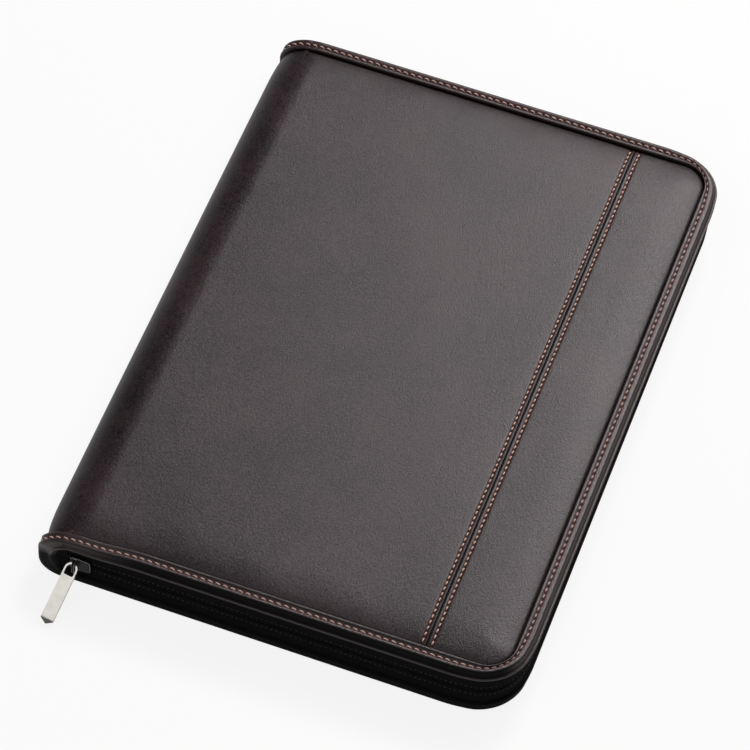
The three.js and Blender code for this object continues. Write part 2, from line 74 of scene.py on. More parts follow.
folder = dict(
    foldX=joints["spine_fold"]["pos_m"][0] / mm,   # the line that a cover turns on
    foreX=bindingHigh[0],
    topY=bindingHigh[1],
    depth=mainHigh[2],
    coverThickness=mainHigh[2] - liningLow[2],
    seamX=(mainHigh[0] + sideLow[0]) / 2 + seamShift,
    corner=23.0,                                   # radius of the fore corners
    rounding=23.3,                                 # how far the spine's rounding reaches in
    roundStart=-102.0,                             # and where it starts
)
foldX, foreX, topY = folder["foldX"], folder["foreX"], folder["topY"]
depth, thick = folder["depth"], folder["coverThickness"]
midZ = depth / 2
roundStart = folder["roundStart"]
print("frame loaded:", {k: round(float(v), 2) for k, v in folder.items()})


# Adds a new object to the scene.
def addObject(name, data):
    made = bpy.data.objects.new(name, data)
    bpy.context.scene.collection.objects.link(made)
    return made


# Camera

view = dict(
    place=(0.3699, -1.2279, 1.8067),
    turn=(35.35, -2.05, 20.066),
    lens=205.3,
)
cameraData = bpy.data.cameras.new("camera")
cameraData.lens = view["lens"]
cameraData.sensor_width = 36
cameraData.clip_end = 50
camera = addObject("camera", cameraData)
camera.location = view["place"]
camera.rotation_euler = Euler([math.radians(a) for a in view["turn"]])
bpy.context.scene.camera = camera
bpy.context.scene.view_settings.view_transform = "Standard"


# Materials

# A socket of a material's or a world's nodes. Sums and products of it add Math nodes.
class Value:
    def __init__(self, nodes, socket):
        self.nodes, self.socket = nodes, socket

    def maths(self, operation, a, b):
        return self.nodes.node("Math", {"operation": operation}, a, b)

    def __add__(self, other):
        return self.maths("ADD", self, other)

    def __rsub__(self, other):
        return self.maths("SUBTRACT", other, self)

    def __mul__(self, other):
        return self.maths("MULTIPLY", self, other)

    __radd__, __rmul__ = __add__, __mul__


# The nodes of a material or a world. node() adds any node and returns one of its outputs: its settings
# come first, then its inputs in their order, by number (`at`) or by name.
class Nodes:
    def __init__(self, owner):
        owner.use_nodes = True
        self.tree = owner.node_tree

    def link(self, socket, value):
        if isinstance(value, Value):
            self.tree.links.new(value.socket, socket)
        elif isinstance(value, tuple) and len(value) == 3 and socket.type == "RGBA":
            socket.default_value = (*value, 1.0)
        else:
            socket.default_value = value

    def node(self, kind, settings=None, *values, output=0, at=None, **named):
        made = self.tree.nodes.new("ShaderNode" + kind)
        for key, value in (settings or {}).items():
            setattr(made, key, value)
        for i, value in [*enumerate(values), *(at or {}).items()]:
            self.link(made.inputs[i], value)
        for key, value in named.items():
            self.link(made.inputs[key.replace("_", " ")], value)
        return Value(self, made.outputs[output])

    def rays(self, kind):
        return self.node("LightPath", output=f"Is {kind} Ray")


# A material with one Principled shader.
class Finish(Nodes):
    def __init__(self, name, **constants):
        self.material = bpy.data.materials.new(name)
        super().__init__(self.material)
        self.shader = self.tree.nodes["Principled BSDF"]
        for key, value in constants.items():
            self.feed(key.replace("_", " "), value)

    def feed(self, key, value):
        self.link(self.shader.inputs[key], value)

    def place(self):
        return self.node("TexCoord", output="Object")

    def axis(self, index):
        return self.node("SeparateXYZ", None, self.place(), output=index)

    def noise(self, scale, detail=2.0, roughness=0.5, vector=None):
        return self.node(
            "TexNoise", Vector=vector or self.place(), Scale=scale, Detail=detail, Roughness=roughness
        )

    def mix(self, factor, a, b):
        return self.node("Mix", {"data_type": "RGBA"}, output=2, at={0: factor, 6: a, 7: b})

    # The share of the way from low to high, kept between 0 and 1.
    def ramp(self, value, low, high):
        return self.node("MapRange", {"clamp": True}, value, low, high, 0.0, 1.0)

    def along(self, key):
        return self.node("Attribute", {"attribute_name": key}, output="Fac")

    def uv(self):
        whole = self.node("TexCoord", output="UV")
        return [self.node("SeparateXYZ", None, whole, output=i) for i in (0, 1)]

    def sine(self, value):
        return self.node("Math", {"operation": "SINE"}, value)

    # A relief: the height's share of the distance, in metres.
    def bump(self, height, distance):
        self.feed("Normal", self.node("Bump", Strength=1.0, Distance=distance, Height=height))

    # Another shader takes the share of the surface.
    def blendWith(self, shader, share):
        blend = self.node("MixShader", None, share, Value(self, self.shader.outputs[0]), shader)
        self.link(self.tree.nodes["Material Output"].inputs[0], blend)


leatherLook = dict(
    dark=(0.0022, 0.0013, 0.0016),
    light=(0.0395, 0.0245, 0.0280),
    oxblood=(0.060, 0.015, 0.010),       # the hide's colour where the needle has opened it
    # painted shade in a needle hole
    hole=(0.004, 0.002, 0.002),
    black=(0.0024, 0.0016, 0.0018),      # painted shade: black for the strip under the folder, on its side facing the bottom edge, under its lips and in its creases
    grain=1900.0,                        # grain cells in a metre
    pores=950.0,                         # and coarser pores
    wear=4200.0,                         # and the finest spots of wear
    clouds=22.0,
    mottle=190.0,
    mottleShare=(0.22, 0.13, 0.65),      # shares of clouds, mottle and pores in the tone
    toneRange=(0.42, 0.59),              # of their sum, from the dark tone to the light one
    brown=(0.050, 0.022, 0.016),
    brownShare=0.45,                     # of it in a warm hide's light tone
    grainShare=(0.25, 0.75),             # shares of cells and pores in the relief
    grainDepth=0.00024,
    roughness=0.24,
    roughMottle=0.06,
    roughWear=0.05,
    roughPores=0.12,
    roughStitched=0.2,
    roughShaded=0.25,
    gloss=0.40,
    matteShare=0.85,                     # share of the matte shader where painted shade lies, so that it reflects little
    matte=dict(Roughness=0.55, Specular_IOR_Level=0.08),
)


# Hide: clouds, mottle and pores carry it from the dark tone to the light one. The piece's "valley" says
# where it is stitched (1), pierced (2, with painted shade in the hole) or painted black as shade (-1), and
# that painted shade is matte, so it reflects little.
def leatherFinish(name, warm=0.0, gloss=leatherLook["gloss"], tone=1.0):
    look = leatherLook
    f = Finish(name, Specular_IOR_Level=gloss)
    clouds = f.noise(look["clouds"], 3.0)
    mottle = f.noise(look["mottle"], 4.0, 0.6)
    smooth = {"feature": "SMOOTH_F1"}
    cells = f.node("TexVoronoi", smooth, Vector=f.place(), Scale=look["grain"], Smoothness=0.5)
    speckle = f.noise(look["pores"], 4.0, 0.75)
    fine = f.noise(look["wear"], 2.0)
    shares = look["mottleShare"]
    shade = clouds * shares[0] + mottle * shares[1] + speckle * shares[2]
    dark, light, brown = (tuple(tone * c for c in look[key]) for key in ("dark", "light", "brown"))
    body = f.mix(f.ramp(shade, *look["toneRange"]), dark, light)
    share = look["brownShare"]
    body = f.mix(warm, body, tuple((1 - share) * a + share * b for a, b in zip(light, brown)))
    valley = f.along("valley")
    # painted shade: where the valley is below 0 the hide turns black, rougher and matte
    dyed = f.ramp(0.0 - valley, 0.0, 1.0)
    body = f.mix(dyed, body, look["black"])
    stitched = f.mix(f.ramp(valley, 0.0, 1.0), body, look["oxblood"])
    # painted shade darkens the needle holes
    f.feed("Base Color", f.mix(f.ramp(valley, 1.0, 1.8), stitched, look["hole"]))
    worn = look["roughness"] + look["roughMottle"] * mottle + look["roughWear"] * fine
    worn = worn + look["roughPores"] * speckle
    f.feed("Roughness", worn + look["roughStitched"] * f.ramp(valley, 0.3, 1.3) + look["roughShaded"] * dyed)
    f.bump(cells * look["grainShare"][0] + speckle * look["grainShare"][1], look["grainDepth"])
    # the matte shader takes the reflection away from the painted shade
    matte = f.node("BsdfPrincipled", Base_Color=look["black"], **look["matte"])
    f.blendWith(matte, dyed * look["matteShare"])
    return f.material


threadLook = dict(twist=5.0, plies=2.0, fuzz=9000.0, fuzzShare=0.3, roughness=0.55, depth=0.00006)


# Two-ply thread: dark lines of painted shade wind round it between the plies, from the share along and the
# share around.
def threadFinish(name, colour, shade):
    look = threadLook
    f = Finish(name, Sheen_Weight=0.3, Sheen_Roughness=0.4)
    along, around = f.uv()
    ply = f.sine((along * look["twist"] + around * look["plies"]) * (2 * math.pi)) * 0.5 + 0.5
    fuzz = f.noise(look["fuzz"], 2.0)
    f.feed("Base Color", f.mix(ply * (1 - look["fuzzShare"]) + fuzz * look["fuzzShare"], shade, colour))
    f.feed("Roughness", look["roughness"] + 0.2 * fuzz)
    f.bump(ply + fuzz * 0.4, look["depth"])
    return f.material


wovenLook = dict(slub=420.0, slubShare=0.4, depth=0.00010)


# Cloth in a plain weave: warp and weft ridges cross in the piece's own UV, laid out in millimetres.
def wovenFinish(name, dark, light, pitch, roughness=0.85, sheen=0.15, gloss=0.3):
    f = Finish(name, Sheen_Weight=sheen, Sheen_Roughness=0.5, Specular_IOR_Level=gloss)
    across, along = f.uv()
    turn = 2 * math.pi / pitch
    warp = f.sine(across * turn)
    weft = f.sine(along * turn)
    weave = warp * weft * 0.5 + 0.5
    slub, share = f.noise(wovenLook["slub"], 4.0, 0.7), wovenLook["slubShare"]
    f.feed("Base Color", f.mix(weave * (1 - share) + slub * share, dark, light))
    f.feed("Roughness", roughness + 0.1 * slub)
    f.bump(weave + slub * 0.3, wovenLook["depth"])
    return f.material


metalLook = dict(blots=260.0, scratches=5200.0, dull=0.86, dullRange=(0.35, 0.7), depth=0.000004)


# Plated metal: dull blots in its colour, and fine scratches.
def metalFinish(name, colour, roughness):
    look = metalLook
    f = Finish(name, Metallic=1.0)
    blot = f.noise(look["blots"], 3.0)
    scratch = f.noise(look["scratches"], 3.0, 0.7)
    worn = tuple(look["dull"] * c for c in colour)
    f.feed("Base Color", f.mix(f.ramp(blot, *look["dullRange"]), worn, colour))
    f.feed("Roughness", roughness + 0.08 * blot + 0.03 * scratch)
    f.bump(scratch, look["depth"])
    return f.material


# Two tones clouded into each other, and the fine tooth that is part of it, nine times as close.
def clouded(f, scale, dark, light):
    cloud, tooth = f.noise(scale, 5.0, 0.65), f.noise(scale * 9, 3.0, 0.7)
    return f.mix(cloud * 0.7 + tooth * 0.3, dark, light), tooth


# Card, foam or nylon.
def plainFinish(name, dark, light, scale, roughness, bumpDepth, **constants):
    f = Finish(name, **constants)
    tone, tooth = clouded(f, scale, dark, light)
    f.feed("Base Color", tone)
    f.feed("Roughness", roughness + 0.1 * tooth)
    f.bump(tooth, bumpDepth)
    return f.material


boardLook = dict(
    dark=(0.20, 0.15, 0.10),
    light=(0.32, 0.25, 0.18),
    clouds=300.0,
    tape=(0.009, 0.008, 0.009),
    tapeEdges=(-3.0, 7.0),               # where the tape begins and ends, from the fold
    tapeFade=0.5,
)


# Stiffening board, with black cloth tape over its edges along the fold lines.
def boardFinish(name):
    f = Finish(name, Specular_IOR_Level=0.2)
    x = f.axis(0)
    low, high = ((foldX + edge) * mm for edge in boardLook["tapeEdges"])
    fade = boardLook["tapeFade"] * mm
    board, tooth = clouded(f, boardLook["clouds"], boardLook["dark"], boardLook["light"])
    taped = f.ramp(x, high, high - fade) * f.ramp(x, low, low + fade)
    f.feed("Base Color", f.mix(taped, board, boardLook["tape"]))
    f.feed("Roughness", 0.85 + 0.1 * tooth)
    f.bump(tooth, 0.00003)
    return f.material


paperLook = dict(
    tones=((0.80, 0.79, 0.75), (0.86, 0.85, 0.81)),
    rule=(0.36, 0.47, 0.62),
    rulePitch=0.008,
    ruleRange=(0.985, 0.999),            # the height of the sine from which the rule shows
    edgeTones=((0.50, 0.48, 0.43), (0.80, 0.78, 0.73)),
)


# Writing paper: off-white, with a printed rule at each pitch down the page.
def paperFinish(name):
    look = paperLook
    f = Finish(name, Roughness=0.75)
    wave = f.sine(f.axis(1) * (2 * math.pi / look["rulePitch"]))
    fibre = f.noise(2500.0, 4.0, 0.7)
    plain = f.mix(fibre, *look["tones"])
    f.feed("Base Color", f.mix(f.ramp(wave, *look["ruleRange"]), plain, look["rule"]))
    f.bump(fibre, 0.00002)
    return f.material


# The cut edges of the leaves: fine dark lines of painted shade between them, one for each few leaves.
def leafEdgeFinish(name):
    f = Finish(name, Roughness=0.85)
    leaf = f.noise(16000.0, 2.0, 0.6, f.node("CombineXYZ", None, 0.0, 0.0, f.axis(2)))
    f.feed("Base Color", f.mix(f.ramp(leaf, 0.35, 0.6), *paperLook["edgeTones"]))
    f.bump(leaf, 0.00008)
    return f.material


finishes = {
    "leather": leatherFinish("leather"),
    "strip": leatherFinish("bindingLeather", 1.0, 0.55, tone=0.72),
    # low-gloss leather that carries painted shade: the strip under the folder and the spine strip's lower
    # half
    "dyedStrip": leatherFinish("shadedBinding", 0.0, 0.10),
    "thread": threadFinish("copperThread", (1.0, 0.78, 0.64), (0.78, 0.38, 0.27)),
    "edgeThread": threadFinish("roseThread", (0.82, 0.60, 0.53), (0.44, 0.24, 0.20)),
    "darkThread": threadFinish("blackThread", (0.0042, 0.0036, 0.0036), (0.0028, 0.0024, 0.0024)),
    "tape": wovenFinish("zipTape", (0.0028, 0.0024, 0.0026), (0.0075, 0.0066, 0.0068), 0.9, 0.9, 0.0, 0.12),
    "lining": wovenFinish("liningCloth", (0.008, 0.007, 0.008), (0.020, 0.018, 0.019), 0.8),
    "elastic": wovenFinish("elastic", (0.008, 0.007, 0.008), (0.022, 0.020, 0.020), 1.4),
    "nickel": metalFinish("nickel", (0.70, 0.68, 0.635), 0.16),
    "wornNickel": metalFinish("wornNickel", (0.86, 0.83, 0.78), 0.42),
    "enamel": plainFinish(
        "blackEnamel", (0.0035, 0.0032, 0.0032), (0.006, 0.0055, 0.0055), 500.0, 0.38, 0.000004,
        Specular_IOR_Level=0.2,
    ),
    "nylon": plainFinish("nylonCoil", (0.006, 0.006, 0.006), (0.012, 0.011, 0.011), 900.0, 0.35, 0.00001),
    "foam": plainFinish("foam", (0.035, 0.033, 0.032), (0.055, 0.052, 0.050), 900.0, 0.9, 0.0002),
    "board": boardFinish("board"),
    "card": plainFinish("padCard", (0.26, 0.19, 0.12), (0.40, 0.31, 0.21), 260.0, 0.8, 0.00003),
    "header": plainFinish("padHeader", (0.012, 0.014, 0.022), (0.020, 0.023, 0.034), 400.0, 0.6, 0.00003),
    "paper": paperFinish("paper"),
    "leafEdge": leafEdgeFinish("leafEdge"),
}
print("materials:", len(finishes))


# Meshes

# A piece takes one finish, or several for its faces' material indices.
def giveFinishes(mesh, finish):
    for key in [finish] if isinstance(finish, str) else finish:
        mesh.materials.append(finishes[key])


# Writes each point's uv to the corners of the faces that meet there.
def giveUv(mesh, uv):
    corners = np.zeros(len(mesh.loops), np.int32)
    mesh.loops.foreach_get("vertex_index", corners)
    layer = mesh.uv_layers.new(name="UVMap")
    layer.uv.foreach_set("vector", np.asarray(uv, np.float32)[corners].ravel())


# Lengths of one.
def unit(vectors):
    return vectors / np.linalg.norm(vectors, axis=1)[:, None]


# Hides the CAD node that a piece stands for.
def standFor(node):
    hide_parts(node)


# A mesh from points in mm. uv and valley hold a value for each point, second a flag for each face that
# takes the second finish. Edges that turn by more than `sharp` degrees stay sharp.
def meshPiece(
    name, points, faces, finish, body, uv=None, valley=None, sharp=38.0, second=None, settled=True
):
    mesh = bpy.data.meshes.new(name)
    points = settle(points, settled)
    mesh.from_pydata((points * mm).tolist(), [], faces)
    giveFinishes(mesh, finish)
    if uv is not None:
        giveUv(mesh, uv)
    if valley is not None:
        layer = mesh.attributes.new("valley", "FLOAT", "POINT")
        layer.data.foreach_set("value", np.asarray(valley, np.float32))
    if second is not None:
        mesh.polygons.foreach_set("material_index", np.asarray(second, np.int32))
    mesh.polygons.foreach_set("use_smooth", np.ones(len(mesh.polygons), bool))
    mesh.set_sharp_from_angle(angle=math.radians(sharp))
    mesh.update()
    piece = addObject(name, mesh)
    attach(piece, body)
    return piece


# Quads of a grid whose point (r, c) has the number first + r * columns + c. A closed grid's last column
# joins its first.
def gridFaces(rows, columns, first=0, flip=False, closed=False):
    r, c = np.meshgrid(np.arange(rows - 1), np.arange(columns if closed else columns - 1), indexing="ij")
    after = (c + 1) % columns
    a, b = first + r * columns + c, first + r * columns + after
    quads = np.stack([a, b, b + columns, a + columns], -1).reshape(-1, 4)
    return quads[:, ::-1] if flip else quads


# A closed plate between two grids of the same shape (rows, columns, 3), joined round their rims. Its UVs
# are the two coordinates named by flat.
def platePiece(name, upper, lower, finish, body, flip=False, flat=(0, 1), **options):
    rows, columns = upper.shape[:2]
    n = rows * columns
    top = gridFaces(rows, columns)
    bottom = gridFaces(rows, columns, n, True)
    number = np.arange(n).reshape(rows, columns)
    rim = np.concatenate([number[0, :-1], number[:-1, -1], number[-1, :0:-1], number[:0:-1, 0]])
    after = np.roll(rim, -1)
    wall = np.stack([after, rim, rim + n, after + n], -1)
    faces = np.concatenate([top, bottom, wall])
    if flip:
        faces = faces[:, ::-1]
    points = np.concatenate([upper.reshape(-1, 3), lower.reshape(-1, 3)])
    uv = points[:, list(flat)]
    if "valley" in options:
        options["valley"] = np.concatenate([options["valley"].ravel(), np.zeros(n)])
    return meshPiece(name, points, faces.tolist(), finish, body, uv=uv, **options)


# A closed body from rings of points (stations, ring points, 3), capped at both ends.
def sweptPiece(name, rings, finish, body, flip=False, along=None, around=None, **options):
    stations, count = rings.shape[:2]
    quads = gridFaces(stations, count, 0, flip, True).tolist()
    start, end = np.arange(count), (stations - 1) * count + np.arange(count)
    caps = [start.tolist(), end[::-1].tolist()] if flip else [start[::-1].tolist(), end.tolist()]
    uv = None
    if along is not None:
        uv = np.stack(np.broadcast_arrays(around[None, :], along[:, None]), -1).reshape(-1, 2)
    return meshPiece(name, rings.reshape(-1, 3), quads + caps, finish, body, uv=uv, **options)


# Grid lines from (position, step) pairs: from each position the step holds up to the next one.
def lines(*stops):
    parts = []
    for (a, step), (b, _) in zip(stops, stops[1:]):
        count = max(1, round(abs(b - a) / step))
        parts.append(np.linspace(a, b, count + 1)[:-1])
    return np.append(np.concatenate(parts), stops[-1][0])


# A Catmull-Rom curve through the points: each span is a cubic whose slope at a point is half the way from
# the point before to the point after.
def smoothLine(points, per=4):
    p = np.array(points, float)
    p = np.concatenate([[2 * p[0] - p[1]], p, [2 * p[-1] - p[-2]]])
    t = np.linspace(0, 1, per, endpoint=False)[:, None, None]
    a, b, c, d = p[:-3], p[1:-2], p[2:-1], p[3:]
    curve = 2 * b + (c - a) * t + (2 * a - 5 * b + 4 * c - d) * t**2 + (3 * b - a - 3 * c + d) * t**3
    return np.concatenate([0.5 * curve.transpose(1, 0, 2).reshape(-1, 2), p[-2:-1]])


# A bell: 1 at the middle, falling off over the width.
def hump(value, middle, width):
    return np.exp(-(((value - middle) / width) ** 2))


# Height lost near an edge: a quarter ellipse, the whole drop at the edge and nothing past the width.
def edgeRoll(inset, width, drop):
    share = np.clip(1 - inset / width, 0, 1)
    return drop * (1 - np.sqrt(1 - share**2))


# The folder's skin. `up` is the height over the outer face: 0 outside, -thick at the lining.

# 0 up to low, 1 from high on, and between them an S: three squares less two cubes of the share.
def smoothStep(value, low, high):
    share = np.clip((value - low) / (high - low), 0, 1)
    return share * share * (3 - 2 * share)


# Height of a point of a cover. Past roundStart the front's outer face follows the spine's ellipse, and
# the layers are squeezed between it and the flat inner face. The back lies flat.
def coverZ(x, up, side):
    if side == "back":
        return 0 * x - up
    reach = np.clip((roundStart - x) / folder["rounding"], 0, 1)
    drop = midZ * (1 - np.sqrt(1 - reach**2))
    return depth + up - drop * (1 + up / thick)


squared = dict(across=0.635, down=0.5)               # powers of cosine and sine in the spine's lower half


# The spine's outer line from the front fold to the back fold. The upper half is a quarter of an ellipse.
# In the lower half, which the folder's weight squares off, the sine and cosine are raised to powers under
# 1. Points are then spaced evenly along it.
def spineOutline():
    begin = math.asin((roundStart - foldX) / folder["rounding"])
    upper = np.linspace(begin, math.pi / 2, 200)
    x, z = roundStart - folder["rounding"] * np.sin(upper), midZ + midZ * np.cos(upper)
    lower = np.linspace(0, math.pi / 2, 400)[1:]
    x = np.append(x, foldX + (x[-1] - foldX) * np.cos(lower) ** squared["across"])
    z = np.append(z, midZ - midZ * np.sin(lower) ** squared["down"])
    run = np.concatenate([[0], np.cumsum(np.hypot(np.diff(x), np.diff(z)))])
    even = np.linspace(0, run[-1], 400)
    return np.linspace(0, 1, 400), np.interp(even, run, x), np.interp(even, run, z)


outlineTurn, outlineX, outlineZ = spineOutline()


# X and Z of a point of the spine, for a turn from 0 at the front fold to 1 at the back fold. It lies
# between the outer line and the inner half circle, by the share that `up` is of the thickness.
def spinePoint(turn, up):
    inner = midZ - thick
    outX, outZ = np.interp(turn, outlineTurn, outlineX), np.interp(turn, outlineTurn, outlineZ)
    inX, inZ = foldX - inner * np.sin(math.pi * turn), midZ + inner * np.cos(math.pi * turn)
    share = -up / thick
    return outX + (inX - outX) * share, outZ + (inZ - outZ) * share


settling = dict(
    leanNear=1.4,        # how far the lower cover is drawn in at the fore edge, at the bottom
    leanFar=3.2,         # and at the top
    leanFrom=70.0,
    flare=0.9,           # how far the strip stands out at the spine's lower end
    flareInner=0.9,      # and its inner side beyond that
    flareSkin=5.0,       # from here inwards by the full measure
    flareFrom=-70.0,
    flareFull=-98.0,
    flareRows=(-120.0, -160.0),
    flareRise=8.0,       # height over which it grows, from the middle up
    cornerZone=36.0,     # stretch of both edges over which the strip is drawn in at a fore corner
    cornerFull=28.0,     # from here on by its full measure
    cornerDraw=2.3,
    cornerFade=(-9.5, -4.0),             # the draw's fading across the strip
)


# The strip is drawn in round a fore corner. The draw grows with the lesser of the two distances into the
# corner's zone, from 0 to full, and fades out over the strip's width. It points away from the corner.
def drawCorners(points):
    x, y = points[..., 0], points[..., 1]
    zone, r = settling["cornerZone"], folder["corner"]
    a, b = np.clip(x - (foreX - zone), 0, None), np.clip(np.abs(y) - (topY - zone), 0, None)
    toArcX, toArcY = np.clip(x - (foreX - r), 0, None), np.clip(np.abs(y) - (topY - r), 0, None)
    inArc = (toArcX > 0) & (toArcY > 0)
    inset = np.where(inArc, r - np.hypot(toArcX, toArcY), np.minimum(foreX - x, topY - np.abs(y)))
    pull = settling["cornerDraw"] * smoothStep(np.minimum(a, b), 0, settling["cornerFull"])
    pull = pull * smoothStep(-inset, *settling["cornerFade"])
    size = np.hypot(a * a, b * b) + 1e-9
    points[..., 0] = x - pull * a * a / size
    points[..., 1] = y - np.sign(y) * pull * b * b / size
    return points


# Moves points from the straight folder to the one that lies here. The lower cover is drawn in towards its
# fore edge, more the nearer to the floor, and the spine's lower end stands out a little.
def settle(points, leaned=True):
    points = drawCorners(np.array(points, float))
    if not leaned:
        return points
    x, y, z = points[..., 0], points[..., 1], points[..., 2]
    lean = settling["leanNear"] + (settling["leanFar"] - settling["leanNear"]) * (y + topY) / (2 * topY)
    lean = lean * smoothStep(x, settling["leanFrom"], foreX) * np.clip(1 - z / midZ, 0, 1)
    inward = np.clip((y + topY) / settling["flareSkin"], 0, 1)
    flare = settling["flare"] + settling["flareInner"] * inward
    flare = flare * smoothStep(z, midZ, midZ + settling["flareRise"])
    flare = flare * smoothStep(x, settling["flareFrom"], settling["flareFull"])
    flare = flare * smoothStep(y, *settling["flareRows"])
    points[..., 0] = x - lean
    points[..., 1] = y - flare
    return points


# Height of the slow waves, and each one's lengths along X and Y and its start.
waves = dict(height=0.035, each=((13.0, 29.0, 0.0), (-41.0, 17.0, 1.3), (23.0, 23.0, 4.0)))


# The slow waves of a hand-laid hide: three crossing sines.
def softness(x, y):
    return waves["height"] * sum(np.sin(x / a + y / b + start) for a, b, start in waves["each"])


# Points of a cover at a height over its outer face.
def onCover(x, y, up, side):
    return np.stack([x, y, coverZ(x, up, side)], -1)


# Bends a square grid's corners into arcs. A square ring round the arc's centre becomes a round ring of
# the same inset, and the share along it becomes the angle.
def roundCorners(x, y, edgeX, edgeY, radius):
    a, b = (x - (edgeX - radius)) / radius, (np.abs(y) - (edgeY - radius)) / radius
    corner = (a > 0) & (b > 0)
    ring = np.maximum(a, b)
    safe = np.where(ring > 0, ring, 1)
    angle = np.where(a >= b, b / safe, 2 - a / safe) * (math.pi / 4)
    roundX = edgeX - radius + radius * ring * np.cos(angle)
    roundY = np.sign(y) * (edgeY - radius + radius * ring * np.sin(angle))
    return np.where(corner, roundX, x), np.where(corner, roundY, y)


# Padded panels

panel = dict(
    insetEnd=9.1,        # from the outer edge to the panel at both ends
    insetFore=8.6,       # and at the fore edge
    tightRoll=1.7,       # the hide's turn into the groove
    tightDrop=0.9,
    softRoll=21.0,       # the padding's fall towards the edges
    softDrop=2.6,
    lump=0.10,           # how uneven it is there
    lumpAt=(10, 8),      # the bell over which that shows
    lumpWaves=((11.0, 1), (6.3, 0)),
    crown=0.45,
    crownReach=60,
    waveReach=20,        # the slow waves fade out over this near the edges
    hide=1.2,
    lip=0.3,             # the hide's thickness at its rim
    lipWidth=2,
    seamHalf=0.13,       # half of the open line between the two panels
    seamFold=0.5,        # the turned edge's roll into that line
    seamDrop=1.5,
    seamSag=(0.16, 7),   # depth and width of the dip round the seam
    seamRow=2.35,        # stitch row's distance from the turned edge
    rowWidth=0.75,
    rowDip=0.40,
    holeDip=0.35,
    hole=(0.80, 0.55),   # half length and half width of a needle hole
    rowTone=0.85,        # how far the row changes the hide's colour, and below, how far painted shade darkens its holes
    holeShade=1.4,
    stitchPitch=3.42,
    tuck=2.4,            # how far the hide runs on under the spine's, so that the open fold has no slit
    tuckTop=-1.35,       # heights of its two faces there
    tuckUnder=-1.75,
)
panelTop = topY - panel["insetEnd"]
panelFore = foreX - panel["insetFore"]
panelCorner = folder["corner"] - (panel["insetEnd"] + panel["insetFore"]) / 2
seamHalf = panel["seamHalf"]


# Height of the padded panel's face: crowned, rolled off at its edges, with the turned edge and the
# stitched valley beside the seam.
def panelHeight(x, y, insetY, insetFore=None, fromSeam=None):
    up = panel["crown"] * np.clip(insetY / panel["crownReach"], 0, 1) ** 0.5
    up = up + softness(x, y) * np.clip(insetY / panel["waveReach"], 0, 1)
    uneven = sum(np.sin(x / length + start) for length, start in panel["lumpWaves"])
    up = up - panel["lump"] * hump(insetY, *panel["lumpAt"]) * uneven
    edge = insetY if insetFore is None else np.minimum(insetY, insetFore)
    up = up - edgeRoll(edge, panel["tightRoll"], panel["tightDrop"])
    up = up - edgeRoll(edge, panel["softRoll"], panel["softDrop"])
    if fromSeam is not None:
        sag, width = panel["seamSag"]
        up = up - panel["rowDip"] * hump(fromSeam, panel["seamRow"], panel["rowWidth"])
        up = up - panel["holeDip"] * seamHole(y, fromSeam) - sag * hump(fromSeam, 0, width)
        up = up - edgeRoll(fromSeam, panel["seamFold"], panel["seamDrop"])
    return up


# The hide's inner face: a lip's thickness under the face at the rim, the whole thickness further in.
def underside(up, edge):
    return up - panel["lip"] - (panel["hide"] - panel["lip"]) * np.clip(edge / panel["lipWidth"], 0, 1)


# How far a place in a row of stitches is from the nearest hole.
def toHole(distance, pitch):
    return (distance + pitch / 2) % pitch - pitch / 2


# 1 at a needle hole of the seam's stitching, falling off over a millimetre.
def seamHole(y, fromSeam):
    halfLong, halfWide = panel["hole"]
    return hump(toHole(y, panel["stitchPitch"]), 0, halfLong) * hump(fromSeam, panel["seamRow"], halfWide)


# 0 on plain hide, 1 in the stitched valley, 2 in a hole, which is darkened with painted shade.
def seamColour(y, fromSeam):
    row = panel["rowTone"] * hump(fromSeam, panel["seamRow"], panel["rowWidth"])
    return row + panel["holeShade"] * seamHole(y, fromSeam)


# Lines across the panel, close together where it rolls off at both ends.
def panelRows(step):
    near = min(step, 0.9)
    stops = [(-panelTop, 0.22), (-panelTop + 2.2, near), (-panelTop + 24, step)]
    return lines(*stops, (panelTop - 24, near), (panelTop - 2.2, 0.22), (panelTop, 1))


# One stretch of a padded cover: face and underside on the same grid, thinned to a lip at the rim.
def panelPiece(name, side, xs, ys, node, rounded=False, seam=False):
    y, x = np.meshgrid(ys, xs, indexing="ij")
    insetY = panelTop - np.abs(y)
    insetFore = panelFore - x if rounded else None
    fromSeam = np.abs(x - folder["seamX"]) - seamHalf if seam else None
    up = panelHeight(x, y, insetY, insetFore, fromSeam)
    if side == "back":
        up = np.minimum(up, 0)           # the folder's weight presses it flat
    edge = insetY if insetFore is None else np.minimum(insetY, insetFore)
    if seam:
        edge = np.minimum(edge, fromSeam)
    under = underside(up, edge)
    tucked = x < foldX - 0.1
    up, under = np.where(tucked, panel["tuckTop"], up), np.where(tucked, panel["tuckUnder"], under)
    if rounded:
        x, y = roundCorners(x, y, panelFore, panelTop, panelCorner)
    upper, lower = onCover(x, y, up, side), onCover(x, y, under, side)
    valley = seamColour(y, fromSeam) if seam else np.zeros(x.shape)
    piece = platePiece(name, upper, lower, "leather", side, flip=side == "back", valley=valley)
    standFor(node)


